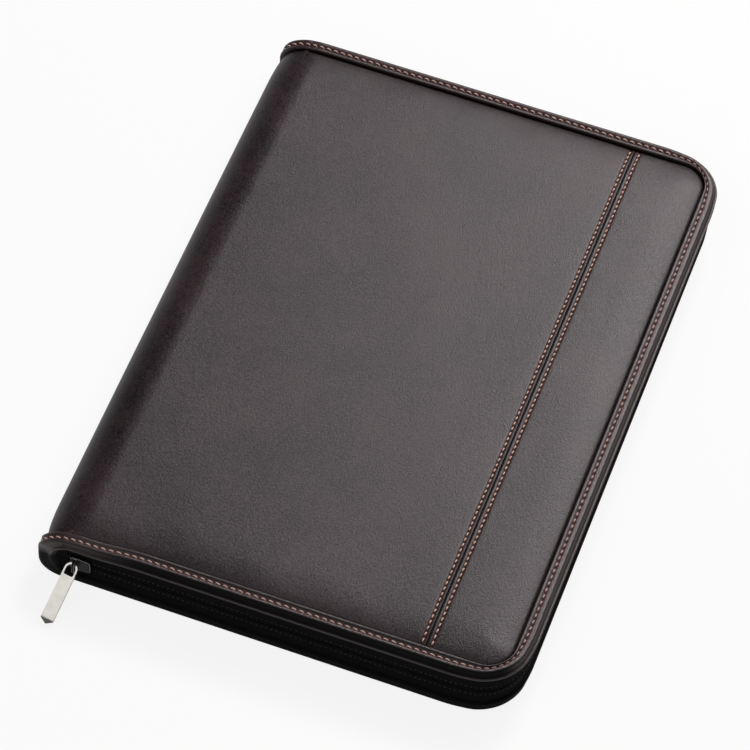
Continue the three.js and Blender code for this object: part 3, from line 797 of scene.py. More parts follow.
seamLeft, seamRight = folder["seamX"] - seamHalf, folder["seamX"] + seamHalf
fineRows = panelRows(panel["stitchPitch"] / 6)
coarseRows = panelRows(5)
foldLines = [(foldX - panel["tuck"], 1.0), (foldX - 0.3, 0.3), (foldX, 0.9), (roundStart + 2, 7)]
mainX = lines(*foldLines, (seamLeft - 8, 0.9), (seamLeft - 3.6, 0.3), (seamLeft - 0.6, 0.12), (seamLeft, 1))
foreLines = [(panelFore - 24, 1.0), (panelFore - 2.2, 0.22), (panelFore, 1)]
seamLines = [(seamRight, 0.12), (seamRight + 0.6, 0.3), (seamRight + 3.6, 0.9), (seamRight + 8, 1.5)]
sideX = lines(*seamLines, *foreLines)
backX = lines(*foldLines, *foreLines)
panelPiece("frontPanelMain", "front", mainX, fineRows, "front_cover_main", seam=True)
panelPiece("frontPanelSide", "front", sideX, fineRows, "front_cover_side", rounded=True, seam=True)
panelPiece("backPanel", "back", backX, coarseRows, "back_cover", rounded=True)
print("padded panels made")


# Spine

spineParts = dict(
    steps=72,                # from fold to fold
    rowStep=8,               # and along the spine
    foam=(-2.9, -3.5),       # heights of each layer's two faces
    board=(-3.7, -5.0),
    lining=(-5.3, -6.0),
    wavesReach=50,           # how far off the fold the waves of its hide are taken
    flatTurn=(0.6, 0.8),     # stretch of the turn over which it flattens towards the floor
)


# Gives a piece its own copy of its mesh.
def layFlat(piece):
    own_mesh(piece)


# A layer of the spine between two heights of its thickness, from fold to fold.
def spineLayer(kind, outer, inner, ys):
    turn = np.linspace(0, 1, spineParts["steps"] + 1)
    y, t = np.meshgrid(ys, turn, indexing="ij")
    up = np.full(y.shape, outer)
    low = np.full(y.shape, inner)
    if kind == "leather":
        insetY = panelTop - np.abs(y)
        up = up + panelHeight(foldX - spineParts["wavesReach"] * np.sin(math.pi * t), y, insetY)
        up = up - np.clip(up, 0, None) * smoothStep(t, *spineParts["flatTurn"])
        low = underside(up, insetY)
    upX, upZ = spinePoint(t, up)
    lowX, lowZ = spinePoint(t, low)
    upper, lower = np.stack([upX, y, upZ], -1), np.stack([lowX, y, lowZ], -1)
    name, node = "spine" + kind.capitalize(), "spine_cover" if kind == "leather" else f"spine_{kind}"
    piece = platePiece(name, upper, lower, kind, "spine", flip=True, valley=np.zeros(y.shape))
    standFor(node)
    layFlat(piece)
    return piece


# Even lines along the spine, from end to end.
def spineRows(halfLength):
    return lines((-halfLength, spineParts["rowStep"]), (halfLength, 1))


liningTop = boxOf("spine_lining")[1][1]
spineLayer("leather", 0, -panel["hide"], coarseRows)
spineLayer("foam", *spineParts["foam"], spineRows(panelTop - 0.5))
spineLayer("board", *spineParts["board"], spineRows(liningTop))
spineLining = spineLayer("lining", *spineParts["lining"], spineRows(liningTop))
flatSpine = math.pi * (midZ + sum(spineParts["lining"]) / 2) * mm, 2 * liningTop * mm
print("spine made")


# Binding

binding = dict(
    width=10.0,
    foreSqueeze=0.28,         # share by which the strip's inner side is narrower along the fore edge
    beadInner=8.8,            # the inner bead's side towards the panel
    bead=(1.0, 0.60),         # half width and height of the inner bead
    beadTop=0.02,
    foreFlat=0.66,            # share by which the strip's face is flatter along the fore edge
    foreTilt=0.05,            # and how much it leans outwards there
    foreOut=0.42,             # how far its shoulder and lip stand out there
    shadeFade=45.0,             # length over which the painted shade of its outer side fades out towards the spine
    grooveFloor=-3.2,
    stitchInset=5.45,
    stitchPitch=4.0,
    pull=0.12,                # how far a stitch pulls the strip in
    holeDip=0.40,
    hole=(0.95, 0.55),        # half length and half width of a needle hole
    station=0.6,              # length of strip between two rings of points
    skirt=0.75,               # how much deeper the strip's outer side hangs on the spine's ends
    proud=1.0,                # and how far the strip stands out there
    faceLow=-1.6,             # the strip's face ends at this height
    faceEnd=-2.9,             # and, where it is flatter, at this line
    outZone=(-4.2, -3.0),     # where its outer side begins
    tone=(0.1, 1.05, 1.4),    # the stitched valley's colour: its shift and its width, and how far painted shade darkens the holes
    lipShade=(4.3, 4.9),        # how far down the painted shade of the lip's underside begins
    creaseShade=(-6.6, 0.5, 0.7),          # middle, width and share of the painted shade beside the bead
    sideShade=(-3.5, -2.5, -3.62),         # where the painted shade of its outer side begins and fills, its low end
    sideCrease=(-6.8, 0.7),              # middle and width of the painted shade beside the bead there
    sideTurn=(0.3, 0.8),      # how far it faces the bottom edge, where painted shade falls
    shadeTurn=(0.38, 0.62),     # stretch of the spine's turn over which painted shade turns the strip black, as it faces down
    pressTurn=(0.35, 0.95),   # and over which it is pressed square
)

# The strip's section as (out, up) points: the face's inner part, then its outer part down to the lip, as
# it hangs free and as the folder's weight presses it.
sections = dict(
    inner=[(-6.55, -0.70), (-5.95, -0.90), (-5.35, -0.86), (-4.65, -0.34)],
    free=[
        (-3.8, -0.04), (-2.9, -0.20), (-2.10, -1.05), (-1.75, -2.55), (-1.00, -3.50), (-0.28, -3.70),
        (-0.02, -4.38), (-0.25, -5.20), (-0.75, -5.75),
    ],
    pressed=[
        (-3.4, -0.02), (-1.6, -0.08), (-0.45, -0.55), (-0.12, -1.50), (-0.35, -2.80), (-0.55, -3.60),
        (-0.02, -4.42), (-0.25, -5.20), (-0.75, -5.75),
    ],
)


# The whole section: bead, stitched valley, outer roll, waist, lip, and the hidden underside. The strip that
# the folder lies on is pressed square.
def bindingSection(pressed):
    wide, high = binding["bead"]
    angle = np.radians(np.linspace(180, 35, 9))
    beadX, beadUp = wide - binding["beadInner"], binding["beadTop"] - high
    bead = np.stack([beadX + wide * np.cos(angle), beadUp + high * np.sin(angle)], -1)
    face = smoothLine(sections["inner"] + sections["pressed" if pressed else "free"])
    floorUp, far = binding["grooveFloor"], -binding["width"] - 0.2
    hidden = [(-1.2, -thick), (-2.8, -thick), (-2.8, -3.6), (far, -3.6), (far, floorUp)]
    hidden = np.array(hidden + [(-binding["beadInner"] - 0.05, floorUp)])
    return np.concatenate([bead, face, hidden])


# Stations round a cover's three open sides, from the fold at the top to the fold at the bottom. Each has
# its place on the outer edge, the outward direction, and its distance along the line at `inset`.
def edgePath(inset, step):
    r = folder["corner"]
    xc, yc = foreX - r, topY - r
    runs = []
    count = round((xc - foldX) / step)
    t = np.linspace(0, 1, count + 1)
    runs.append(np.stack([foldX + (xc - foldX) * t, topY + 0 * t, 0 * t, 1 + 0 * t], -1))
    turn = np.linspace(math.pi / 2, 0, max(8, round(r * math.pi / 2 / step * 1.4)) + 1)[1:]
    runs.append(np.stack([xc + r * np.cos(turn), yc + r * np.sin(turn), np.cos(turn), np.sin(turn)], -1))
    t = np.linspace(0, 1, round(2 * yc / step) + 1)[1:]
    runs.append(np.stack([foreX + 0 * t, yc - 2 * yc * t, 1 + 0 * t, 0 * t], -1))
    half = np.concatenate(runs[:2])
    mirrored = half[::-1] * [1, -1, 1, -1]
    path = np.concatenate([half, runs[2][:-1], mirrored])
    stitched = path[:, :2] - inset * path[:, 2:]
    steps = np.linalg.norm(np.diff(stitched, axis=0), axis=1)
    return path, np.concatenate([[0], np.cumsum(steps)])


# Place and outward direction on the outer edge at given distances: x, y, outX and outY.
def alongPath(path, distance, at):
    return (np.interp(at, distance, path[:, i]) for i in range(4))


# Points at a distance outside the outer edge, for each station and each section point.
def outFrom(path, out):
    return path[:, 0:1] + path[:, 2:3] * out, path[:, 1:2] + path[:, 3:4] * out


# How many whole stitches a line takes, and their pitch.
def evenPitch(distance):
    count = round(distance[-1] / binding["stitchPitch"])
    return count, distance[-1] / count


# A bell across the strip, on its face alone.
def faceBell(section, middle, width):
    return hump(section[:, 0], middle, width) * (section[:, 1] > binding["faceLow"])


# 1 at a needle hole of the strip, for each ring and each section point.
def bindingHole(section, distance, pitch):
    halfLong, halfWide = binding["hole"]
    near = faceBell(section, -binding["stitchInset"], halfWide)
    return hump(toHole(distance, pitch), 0, halfLong)[:, None] * near[None, :]


# How far the strip is drawn in by its stitches: a slow wave between the holes, and the holes.
def bindingPull(section, distance, pitch):
    near = faceBell(section, -binding["stitchInset"], 1.6)
    wave = 0.5 + 0.5 * np.cos(2 * math.pi * distance / pitch)
    holes = bindingHole(section, distance, pitch)
    return binding["pull"] * near[None, :] * wave[:, None] + binding["holeDip"] * holes


# 0 on plain hide, 1 in the stitched valley, 2 in a hole darkened with painted shade, -1 where painted shade
# turns the hide black. The last argument is the share of that painted shade on each ring; the lip's
# underside and the hidden groove always get it, the crease beside the bead in part.
def bindingColour(section, distance, pitch, dyed):
    shift, width, holeShade = binding["tone"]
    crease, creaseWidth, creaseShare = binding["creaseShade"]
    valley = faceBell(section, -binding["stitchInset"] - shift, width)
    # painted shade: black under the lip, in the hidden groove by the bead, and partly in the crease beside
    # it
    under = smoothStep(-section[:, 1], *binding["lipShade"])
    under = np.where((section[:, 0] < -8.5) & (section[:, 1] < -1), 1.0, under)
    under = np.maximum(under, creaseShare * faceBell(section, crease, creaseWidth))
    black = np.maximum(under[None, :], dyed)
    holes = holeShade * bindingHole(section, distance, pitch)
    return (valley[None, :] - black * (1 - valley[None, :]) + holes).ravel()


# Two rings more at each end of a strip, smaller and past the fold. They lie inside the spine's strip and
# close the slit between the two when the folder is open, painted black all over as shade.
def tuckEnds(rings, valley):
    ends = []
    for ring in (rings[0], rings[-1]):
        middle = ring.mean(axis=0)
        small = middle + (ring - middle) * [1, 0.6, 0.6]
        ends.append([small - [0.3, 0, 0], small - [panel["tuck"], 0, 0]])
    black = np.full(2 * len(rings[0]), -1.0)
    return np.concatenate([ends[0][::-1], rings, ends[1]]), np.concatenate([black, valley, black])


# The strip round a cover: its section is flatter, narrower and tilted along the fore edge, and drawn in by
# the stitches. Painted shade blackens its outer side where it faces the bottom edge, and the whole strip
# under the folder.
def coverBinding(side):
    section = bindingSection(side == "back")
    path, distance = edgePath(binding["stitchInset"], binding["station"] if side == "front" else 1.0)
    count, pitch = evenPitch(distance)
    fore = path[:, 2:3] ** 2
    face = (section[:, 1] > binding["faceLow"]) & (section[:, 0] < binding["faceEnd"])
    face = face.astype(float)[None, :]
    tilt = binding["foreTilt"] * (section[:, 0] + binding["stitchInset"])[None, :]
    up = section[:, 1][None, :] * (1 - binding["foreFlat"] * fore * face) - tilt * fore * face
    up = up - bindingPull(section, distance, pitch)
    innerSide = np.minimum(section[:, 0] + binding["stitchInset"], 0)[None, :]
    outSide = smoothStep(section[:, 0], *binding["outZone"])[None, :]
    out = section[:, 0][None, :] - binding["foreSqueeze"] * fore * innerSide
    out = out + binding["foreOut"] * fore * outSide
    rings = onCover(*outFrom(path, out), up, side)
    # painted shade: black on the outer side that faces the bottom edge, fading out towards the fold; the
    # strip under the folder is black all over, in the low-gloss finish
    begin, full, lowEnd = binding["sideShade"]
    outer = smoothStep(section[:, 0], begin, full) * (section[:, 1] > lowEnd)
    outer = np.maximum(outer, faceBell(section, *binding["sideCrease"]))
    low = smoothStep(-path[:, 3], *binding["sideTurn"])
    low = low * smoothStep(path[:, 0], foldX, foldX + binding["shadeFade"])
    shadedOuterSide = outer[None, :] * low[:, None]
    valley = bindingColour(section, distance, pitch, np.maximum(shadedOuterSide, float(side == "back")))
    rings, valley = tuckEnds(rings, valley)
    leather = "strip" if side == "front" else "dyedStrip"
    piece = sweptPiece(side + "Binding", rings, leather, side, flip=side == "front", valley=valley)
    standFor(side + "_binding")
    return path, distance, pitch, count


# The strip round one end of the spine. Its section changes from the free one to the pressed one, and in
# between its outer side hangs deeper, like a skirt over the end. Painted shade turns its lower half black
# and matte.
def spineBinding(name, end, node):
    free, pressed = bindingSection(False), bindingSection(True)
    turn = np.linspace(0, 1, 181)
    x, z = spinePoint(turn, -1.0)
    distance = np.concatenate([[0], np.cumsum(np.hypot(np.diff(x), np.diff(z)))])
    count, pitch = evenPitch(distance)
    blend = smoothStep(turn, *binding["pressTurn"])[:, None]
    out = free[None, :, 0] * (1 - blend) + pressed[None, :, 0] * blend
    up = free[None, :, 1] * (1 - blend) + pressed[None, :, 1] * blend
    hang = 1 + binding["skirt"] * (np.sin(math.pi * np.clip(turn / 0.9, 0, 1)) ** 0.8)[:, None]
    up = np.where(out > -2.75, up * np.where(up < -0.3, hang, 1), up)
    proud = binding["proud"] * np.sin(math.pi * turn) ** 0.5
    up = up - bindingPull(free, distance, pitch)
    up = up + proud[:, None] * np.clip(1 + up / thick, 0, 1)
    x, z = spinePoint(turn[:, None], up)
    rings = np.stack([x, end * (topY + out), z], -1)
    # painted shade: black over the lower half of the turn, which faces the floor, in the low-gloss finish
    # past the middle
    valley = bindingColour(free, distance, pitch, smoothStep(turn, *binding["shadeTurn"])[:, None])
    second = np.append(np.repeat(turn[:-1] > 0.5, len(free)), [False, True])
    leather = ["strip", "dyedStrip"]
    piece = sweptPiece(name, rings, leather, "spine", flip=end < 0, valley=valley, second=second)
    standFor(node)
    layFlat(piece)
    at = (np.arange(count) + 0.5) / count * distance[-1]
    return np.interp(at, distance, turn), np.interp(at, distance, proud)


# Stitches

stitch = dict(
    radius=0.36,
    length=0.74,              # share of the pitch that the thread shows
    rise=0.30,
    sink=0.75,
    arch=3.2,                 # power of the arch's fall: the greater, the flatter its top
    taper=0.75,
    flat=0.85,
    slant=0.24,
    sides=6,
    steps=7,
    up=-0.68,                 # height of the binding's row over the outer face
)


# A row of stitches as one piece. Each is a thread whose middle line rises and falls as a flattened arch
# between its two holes, and whose round section tapers into them.
def stitchPiece(name, places, directions, ups, pitch, body, finish="thread", radius=1.0):
    places, directions, ups = (np.asarray(a, float) for a in (places, directions, ups))
    across = np.cross(directions, ups)
    s = np.linspace(-1, 1, stitch["steps"])
    run = s * pitch * stitch["length"] / 2
    height = stitch["rise"] - (stitch["rise"] + stitch["sink"]) * np.abs(s) ** stitch["arch"]
    width = stitch["radius"] * radius * np.sqrt(np.clip(1 - stitch["taper"] * s**4, 0, 1))
    turn = np.arange(stitch["sides"]) * (2 * math.pi / stitch["sides"])
    side = stitch["slant"] * s[:, None] + width[:, None] * np.cos(turn)[None, :]
    rise = height[:, None] + stitch["flat"] * width[:, None] * np.sin(turn)[None, :]
    along = np.broadcast_to(run[:, None], side.shape)
    rings = (
        places[:, None, None, :]
        + directions[:, None, None, :] * along[None, :, :, None]
        + across[:, None, None, :] * side[None, :, :, None]
        + ups[:, None, None, :] * rise[None, :, :, None]
    )
    n, m, k = len(places), stitch["steps"], stitch["sides"]
    one = gridFaces(m, k, 0, False, True)
    first = np.arange(n)[:, None, None] * (m * k)
    quads = (one[None] + first).reshape(-1, 4).tolist()
    caps = [list(range(i * m * k + k - 1, i * m * k - 1, -1)) for i in range(n)]
    caps += [list(range((i + 1) * m * k - k, (i + 1) * m * k)) for i in range(n)]
    uv = np.stack(np.broadcast_arrays((s[:, None] + 1) / 2, turn[None, :] / (2 * math.pi)), -1)
    uv = np.broadcast_to(uv[None], (n, m, k, 2)).reshape(-1, 2)
    piece = meshPiece(name, rings.reshape(-1, 3), quads + caps, finish, body, uv=uv, sharp=60)
    return piece


# Places, directions and ups of stitches spaced evenly along the line at `inset` round a cover.
def onEdge(path, distance, count, inset, up, side):
    at = (np.arange(count) + 0.5) / count * distance[-1]
    x, y, ox, oy = alongPath(path, distance, at)
    size = np.hypot(ox, oy)
    ox, oy = ox / size, oy / size
    x, y = x - inset * ox, y - inset * oy
    ahead = 0.5
    slope = (coverZ(x + ahead, up, side) - coverZ(x - ahead, up, side)) / (2 * ahead)
    places = onCover(x, y, up, side)
    directions = np.stack([oy, -ox, slope * oy], -1)
    turned = 1 if side == "front" else -1
    ups = np.stack([-slope * turned, 0 * x, 0 * x + turned], -1)
    return places, unit(directions), unit(ups)


stitchUp = stitch["up"]
for side in ("front", "back"):
    path, distance, pitch, count = coverBinding(side)
    row = onEdge(path, distance, count, binding["stitchInset"], stitchUp, side)
    stitchPiece(side + "BindingStitches", *row, pitch, side, "edgeThread")

for end, label in ((1, "Top"), (-1, "Bottom")):
    turns, proud = spineBinding("spineBinding" + label, end, "spine_binding_" + label.lower())
    near = 0.004
    x, z = spinePoint(turns, stitchUp + proud)
    ax, az = spinePoint(turns - near, stitchUp + proud)
    bx, bz = spinePoint(turns + near, stitchUp + proud)
    run = unit(np.stack([bx - ax, 0 * x, bz - az], -1))
    places = np.stack([x, 0 * x + end * (topY - binding["stitchInset"]), z], -1)
    ups = np.stack([run[:, 2], 0 * x, -run[:, 0]], -1)
    name, pitch = "spineStitches" + label, binding["stitchPitch"]
    layFlat(stitchPiece(name, places, run, ups, pitch, "spine", "edgeThread"))

rowCount = 2 * int((panelTop - 1.2) / panel["stitchPitch"])
rowY = (np.arange(rowCount) - (rowCount - 1) / 2) * panel["stitchPitch"]
for label, sign in (("Left", -1), ("Right", 1)):
    x = np.full(rowCount, folder["seamX"] + sign * (seamHalf + panel["seamRow"]))
    up = panelHeight(x, rowY, panelTop - np.abs(rowY), None, np.full(rowCount, panel["seamRow"]))
    places = onCover(x, rowY, up - 0.1, "front")
    ahead = np.tile([0.0, 1.0, 0.0], (rowCount, 1))
    ups = np.tile([0.0, 0.0, 1.0], (rowCount, 1))
    stitchPiece("seamStitches" + label, places, ahead, ups, panel["stitchPitch"], "front", radius=0.92)
print("binding and stitches made")


# Foam, boards and lining inside the covers

# Each layer's heights over the outer face, how far its edge lies off the fold, and how much further in
# than the CAD's it ends.
layers = dict(
    foam=(0, -3.4, 0.9, 0.4),
    lining=(-5.35, -thick, 0.15, 0),
    board=(-3.55, -5.2, 0.5, 0),
)
underHide = 1.6                                    # the foam's face below the hide's
foamDip = (0.3, 5)                                 # depth and width of its dip under the seam
foamLeast = 0.2


# A layer of a cover between two heights, with round fore corners. One that follows lies under the padded
# face.
def coverSheet(side, kind, follows=False):
    outer, inner, fold, further = layers[kind]
    node = f"{side}_{kind}"
    inset = topY - boxOf(node)[1][1] + further
    edgeY, edgeX = topY - inset, foreX - inset
    ys = lines((-edgeY, 2), (-edgeY + 26, 12), (edgeY - 26, 2), (edgeY, 2))
    xs = lines((foldX + fold, 3), (roundStart + 5, 12), (edgeX - 26, 2), (edgeX, 2))
    y, x = np.meshgrid(ys, xs, indexing="ij")
    x, y = roundCorners(x, y, edgeX, edgeY, folder["corner"] - inset)
    up = np.full(x.shape, float(outer))
    if follows:
        reach = np.minimum(panelTop - np.abs(y), panelFore - x)
        dip, width = foamDip
        up = panelHeight(x, y, np.clip(reach, 0, None)) - underHide
        up = np.clip(up - dip * hump(np.abs(x - folder["seamX"]), 0, width), inner + foamLeast, None)
    upper, lower = onCover(x, y, up, side), onCover(x, y, inner, side)
    piece = platePiece(side + kind.capitalize(), upper, lower, kind, side, flip=side == "back")
    standFor(node)
    return piece


for side in ("front", "back"):
    coverSheet(side, "foam", follows=True)
    lining = coverSheet(side, "lining")
    coverSheet(side, "board")
print("foam, boards and lining made")


# Zip

zipper = dict(
    tapeInset=1.6,
    tapeThickness=0.6,
    flange=12.0,
    slit=0.35,              # half of the open line between the tapes
    coilPitch=1.3,
    coilWidth=3.2,
    coilDepth=1.5,
    coilOut=-3.5,           # middle of the coil, in from the outer edge
    coilEnd=3.4,            # how far before the tape's ends it stops
    wire=0.30,
    tip=0.25,               # how near a coil's tips come to the middle
    ripple=((0.10, 9.0, 0.0), (0.07, 4.1, 1.0)),       # the wall's waves: height, length and start
    threadFromSlit=3.3,
    threadPitch=2.6,
    threadUp=0.1,
)


# A tape: flange under the lining's edge, a round turn, and the wall down to the slit with a thicker woven
# edge.
def zipTape(side, row):
    t, inset = zipper["tapeThickness"], zipper["tapeInset"]
    low = -midZ + zipper["slit"]
    wallIn, wallOut = -inset - t, -inset
    foot, base, mid = zipper["flange"], -thick, -midZ
    section = np.array([
        (-foot, base), (-foot, base - t), (wallIn - 0.6, base - t), (wallIn - 0.15, base - t - 0.2),
        (wallIn, base - t - 0.7), (wallIn, mid + 5.0), (wallIn, mid + 2.2), (wallIn - 0.15, mid + 1.4),
        (wallIn - 0.15, low + 0.3), (wallIn + 0.1, low), (wallOut - 0.1, low),
        (wallOut + 0.16, low + 0.35), (wallOut + 0.16, low + 1.0), (wallOut, low + 1.5),
        (wallOut, mid + 3.0), (wallOut - 0.05, mid + 3.3), (wallOut, mid + 3.6), (wallOut, mid + 7.0),
        (wallOut + 0.1, base - 1.2), (wallOut, base + 0.3), (wallOut - 0.8, base),
    ])
    path, distance = edgePath(inset, 2.0)
    out, up = section[:, 0][None, :], section[:, 1][None, :]
    wall = np.clip((-up - thick - 1) / 6, 0, 1) * (out > wallIn - 1)
    ripple = sum(height * np.sin(distance / length + start) for height, length, start in zipper["ripple"])
    out = out + wall * ripple[:, None]
    x, y = outFrom(path, out)
    z = depth + up if side == "front" else -up
    rings = np.stack([x, y, np.broadcast_to(z, x.shape)], -1)
    around = np.concatenate([[0], np.cumsum(np.hypot(*np.diff(section, axis=0).T))])
    front = side == "front"
    piece = sweptPiece(
        row + "ZipTape", rings, "tape", side, flip=front, along=distance, around=around, settled=not front
    )
    standFor(row + "_zip_tape")


# Rings of points round a line: each is a circle across the line, turned by the reference direction.
def tubeRings(centre, reference, radius, sides):
    ahead = unit(np.gradient(centre, axis=0))
    one = unit(np.cross(ahead, reference))
    two = np.cross(ahead, one)
    turn = np.arange(sides) * (2 * math.pi / sides)
    ring = one[:, None] * np.cos(turn)[None, :, None] + two[:, None] * np.sin(turn)[None, :, None]
    return centre[:, None] + ring * radius


# A coil of nylon wire: while it runs along the tape it winds round a flattened loop, from the tips at the
# slit back to its root and forward again.
def zipCoil(side, row, phase):
    path, distance = edgePath(-zipper["coilOut"], 1.0)
    start, stop = zipper["coilEnd"], distance[-1] - zipper["coilEnd"]
    loops = int((stop - start) / zipper["coilPitch"])
    perLoop = 10
    at = np.linspace(start, stop, loops * perLoop + 1)
    turn = np.linspace(0, loops, loops * perLoop + 1) * 2 * math.pi + phase
    reach = zipper["tip"] + zipper["wire"] + (zipper["coilWidth"] / 2 - zipper["wire"]) * (1 - np.cos(turn))
    out = zipper["coilOut"] + (zipper["coilDepth"] / 2 - 0.1) * np.sin(turn)
    x, y, ox, oy = alongPath(path, distance, at)
    up = -midZ + reach
    centre = np.stack([x + ox * out, y + oy * out, depth + up if side == "front" else -up], -1)
    ahead = np.stack([oy, -ox, 0 * ox], -1)
    rings = tubeRings(centre, ahead, zipper["wire"], 5)
    piece = sweptPiece(row + "ZipCoil", rings, "nylon", side, sharp=80, settled=side == "back")
    standFor(row + "_zip_teeth")


# The row of sewing that holds the coil to its tape, on the outer side.
def tapeThread(side, row):
    path, distance = edgePath(zipper["tapeInset"], 1.0)
    pitch = zipper["threadPitch"]
    count = int(distance[-1] / pitch)
    at = (np.arange(count) + 0.5) / count * distance[-1]
    x, y, ox, oy = alongPath(path, distance, at)
    inset = zipper["tapeInset"] + zipper["threadUp"]
    z = midZ + zipper["threadFromSlit"] * (1 if side == "front" else -1)
    places = np.stack([x - inset * ox, y - inset * oy, np.full(count, z)], -1)
    directions = np.stack([oy, -ox, 0 * ox], -1)
    ups = np.stack([ox, oy, 0 * ox], -1)
    stitchPiece(row + "TapeSewing", places, directions, ups, pitch, side, "darkThread", radius=0.5)


for side, row, phase in (("front", "upper", 0.0), ("back", "lower", math.pi)):
    zipTape(side, row)
    zipCoil(side, row, phase)
    tapeThread(side, row)


easing = dict(merge=1e-6, flat=2, segments=2, angle=32, weight=90)


# A CAD piece with its edges eased: its triangles are merged, the flat ones joined, and each edge that
# turns by more than the angle gets a small round, in the last of its finishes. Its normals lean to the
# broad faces.
def bevelledCopy(node, name, body, finish, width):
    mesh = bpy.data.meshes.new(name)
    work = bmesh.new()
    work.from_mesh(frame["nodes"][node].data)
    bmesh.ops.remove_doubles(work, verts=work.verts, dist=easing["merge"])
    flat = math.radians(easing["flat"])
    bmesh.ops.dissolve_limit(work, angle_limit=flat, verts=work.verts, edges=work.edges)
    work.to_mesh(mesh)
    work.free()
    mesh.polygons.foreach_set("use_smooth", np.ones(len(mesh.polygons), bool))
    giveFinishes(mesh, finish)
    mesh.polygons.foreach_set("material_index", np.zeros(len(mesh.polygons), np.int32))
    piece = addObject(name, mesh)
    ease = piece.modifiers.new("ease", "BEVEL")
    ease.width, ease.segments = width * mm, easing["segments"]
    ease.limit_method, ease.angle_limit = "ANGLE", math.radians(easing["angle"])
    ease.material = len(mesh.materials) - 1
    weigh = piece.modifiers.new("weigh", "WEIGHTED_NORMAL")
    weigh.mode, weigh.weight = "FACE_AREA", easing["weight"]
    baked = bpy.data.meshes.new_from_object(piece.evaluated_get(bpy.context.evaluated_depsgraph_get()))
    piece.modifiers.clear()
    piece.data = baked
    baked.name = name
    points = np.zeros(len(baked.vertices) * 3)
    baked.vertices.foreach_get("co", points)
    for old in list(baked.uv_layers):
        baked.uv_layers.remove(old)
    giveUv(baked, points.reshape(-1, 3)[:, :2] / mm)
    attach(piece, body)
    standFor(node)
    return piece


bevelledCopy("zip_slider", "slider", "slider", ("enamel", "wornNickel"), 0.20)
bevelledCopy("zip_puller", "puller", "puller", "nickel", 0.14)
for row in ("upper", "lower"):
    for end in ("start", "finish"):
        node = f"zip_stop_{row}_{end}"
        body = "front" if row == "upper" else "back"
        bevelledCopy(node, f"{row}Stop{end.capitalize()}", body, "enamel", 0.25)
print("zip made")


# Spine ends

# The textile flap that closes one end of the spine: its rows run from the fold lines' straight edge out
# to the curve under the binding, and it bulges a little.
def spineEnd(label, end):
    low, high = boxOf("spine_end_" + label.lower())
    turn = np.linspace(0, 1, 41)
    x, z = spinePoint(turn, -thick + 0.4)
    share = np.linspace(0, 1, 9)[:, None]
    x = foldX + 0.2 + (x - foldX - 0.2)[None, :] * share
    z = np.broadcast_to(z[None, :], x.shape)
    bulge = 0.35 * np.sin(math.pi * share) * np.sin(math.pi * turn)[None, :]
    outer, inner = (high[1], low[1]) if end > 0 else (low[1], high[1])
    upper = np.stack([x, outer + end * bulge, z], -1)
    lower = np.stack([x, inner + end * bulge, z], -1)
    piece = platePiece("spineEnd" + label, upper, lower, "tape", "spine", flip=end > 0, flat=(0, 2))
    standFor("spine_end_" + label.lower())
    layFlat(piece)
    wide, tall = (high[0] - low[0]) * mm, (high[2] - low[2]) * mm
    area = wide * tall * math.pi / 4


spineEnd("Top", 1)
spineEnd("Bottom", -1)


# Inside: pad, pockets and pen loop

# A cloth pocket: the CAD piece with its edges eased, in lining cloth.
def pocket(node, name, body, ease):
    piece = bevelledCopy(node, name, body, "lining", ease)


pocket("pad_pocket", "padPocket", "back", 0.35)
pocket("document_pocket", "documentPocket", "front", 0.35)
for i in (1, 2, 3):
    pocket(f"card_pocket_{i}", f"cardPocket{i}", "front", 0.3)
bevelledCopy("pad_header", "padHeader", "back", "header", 0.15)
loop = bevelledCopy("pen_loop", "penLoop", "spine", "elastic", 0.3)
layFlat(loop)
frame["nodes"]["pad_card"].data.materials.clear()
frame["nodes"]["pad_card"].data.materials.append(finishes["card"])


block = dict(waver=0.18, turns=7, lean=0.25, left=0.3, right=0.5)


# The block of leaves: its long sides lean and waver a little, as a glued block's do.
def padBlock():
    low, high = boxOf("pad_sheets")
    zs = np.linspace(low[2], high[2], 9)
    ys = lines((low[1], 12), (high[1], 12))
    share = (zs - low[2]) / (high[2] - low[2])
    shift = block["waver"] * np.sin(block["turns"] * share) + block["lean"] * share
    left = np.stack([low[0] + block["left"] + shift, zs], -1)
    right = np.stack([high[0] - block["right"] + shift, zs], -1)[::-1]
    ring = np.concatenate([left, right])
    rings = np.stack(np.broadcast_arrays(ring[None, :, 0], ys[:, None], ring[None, :, 1]), -1)
    stations, count = rings.shape[:2]
    quads = gridFaces(stations, count, 0, False, True)
    caps = [list(range(count))[::-1], list(range((stations - 1) * count, stations * count))]
    column = quads[:, 0] % count
    topFace = np.abs(ring[column, 1] - high[2]) < 1e-6
    topFace &= np.abs(ring[(column + 1) % count, 1] - high[2]) < 1e-6
    second = np.concatenate([~topFace, [True, True]])
    faces, leaves = quads.tolist() + caps, ["paper", "leafEdge"]
    piece = meshPiece("padSheets", rings.reshape(-1, 3), faces, leaves, "back", second=second)
    standFor("pad_sheets")


padBlock()
print("inside made")


# Floor, lamps and world

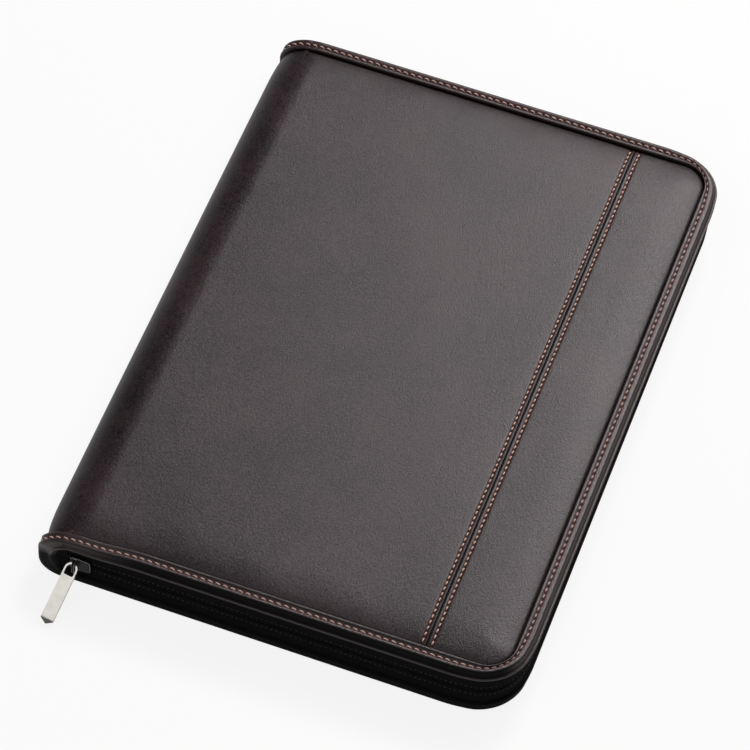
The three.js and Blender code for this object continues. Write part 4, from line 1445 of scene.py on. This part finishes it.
studio = dict(
    floor=6.0,
    floorZ=-0.0004,
    floorTones=((0.30, 0.30, 0.30), (0.86, 0.86, 0.86)),       # to other rays, and to the camera
    worldDiffuse=0.12,
    worldGlossy=0.06,       # what metal and leather see of the white background
    floorGlow=0.86,         # share of the floor that the camera sees as plain white
    floorGlossy=0.50,       # and that reflections see
    softboxTint=(1.0, 0.95, 0.955),
    # each lamp's place and aim in metres, its size and its power. The softboxes behind the folder lie where
    # its face reflects them, brightest on the right
    lamps=dict(
        softboxNear=((0.10, 0.72, 1.40), (0.05, 0.00, 0), (0.5, 0.45), 0.9),
        softboxMiddle=((0.10, 1.17, 1.40), (0.05, 0.05, 0), (0.5, 0.45), 19.5),
        softboxRight=((0.62, 0.90, 1.32), (0.05, 0.05, 0), (0.65, 0.9), 8.0),
        frontPanel=((-0.66, -0.90, 1.5), (-0.10, -0.19, 0), (1.3, 1.3), 5.6),
        frontFill=((0.60, -1.30, 1.2), (0.0, -0.10, 0), (0.5, 0.5), 2.5),
    ),
)


# How much of the white background a ray sees: by whether it comes from the camera, from a reflection or
# through glass.
def rayShares(nodes, camera, glossy, glass):
    seen = nodes.rays("Camera") * camera + nodes.rays("Glossy") * glossy
    return seen + nodes.rays("Transmission") * glass


# The floor: white to the camera by its glow, which reflections see in part, and shadowed where the folder
# keeps the lamps' light off it.
def floorPiece():
    mesh = bpy.data.meshes.new("floor")
    half, low = studio["floor"], studio["floorZ"]
    corners = [(-half, -half, low), (half, -half, low), (half, half, low), (-half, half, low)]
    mesh.from_pydata(corners, [], [(0, 1, 2, 3)])
    f = Finish("floor", Roughness=0.9, Specular_IOR_Level=0.1)
    f.feed("Base Color", f.mix(f.rays("Camera"), *studio["floorTones"]))
    glossy = studio["floorGlossy"]
    f.blendWith(f.node("Emission"), rayShares(f, studio["floorGlow"], glossy, glossy))
    mesh.materials.append(f.material)
    addObject("floor", mesh)


# A rectangular lamp turned towards its aim. The softboxes are tinted like the photo's sheen.
def lamp(name, place, aim, size, power):
    data = bpy.data.lights.new(name, "AREA")
    data.shape = "RECTANGLE"
    data.size, data.size_y = size
    data.energy = power
    data.color = studio["softboxTint"] if name.startswith("softbox") else (1, 1, 1)
    light = addObject(name, data)
    light.location = place
    light.rotation_euler = (Vector(aim) - Vector(place)).to_track_quat("-Z", "Y").to_euler()


# The surroundings: plain white to the camera, dim to reflections and to scattered light.
def worldLight():
    world = bpy.data.worlds.new("studio")
    nodes = Nodes(world)
    spread = studio["worldDiffuse"]
    shares = rayShares(nodes, 1 - spread, studio["worldGlossy"] - spread, 1 - spread)
    background = nodes.tree.nodes["Background"]
    nodes.link(background.inputs["Strength"], shares + spread)
    nodes.link(background.inputs["Color"], (1.0, 1.0, 1.0))
    bpy.context.scene.world = world


floorPiece()
worldLight()
for name, (place, aim, lampSize, power) in studio["lamps"].items():
    lamp(name, place, aim, lampSize, power)
print("studio made")
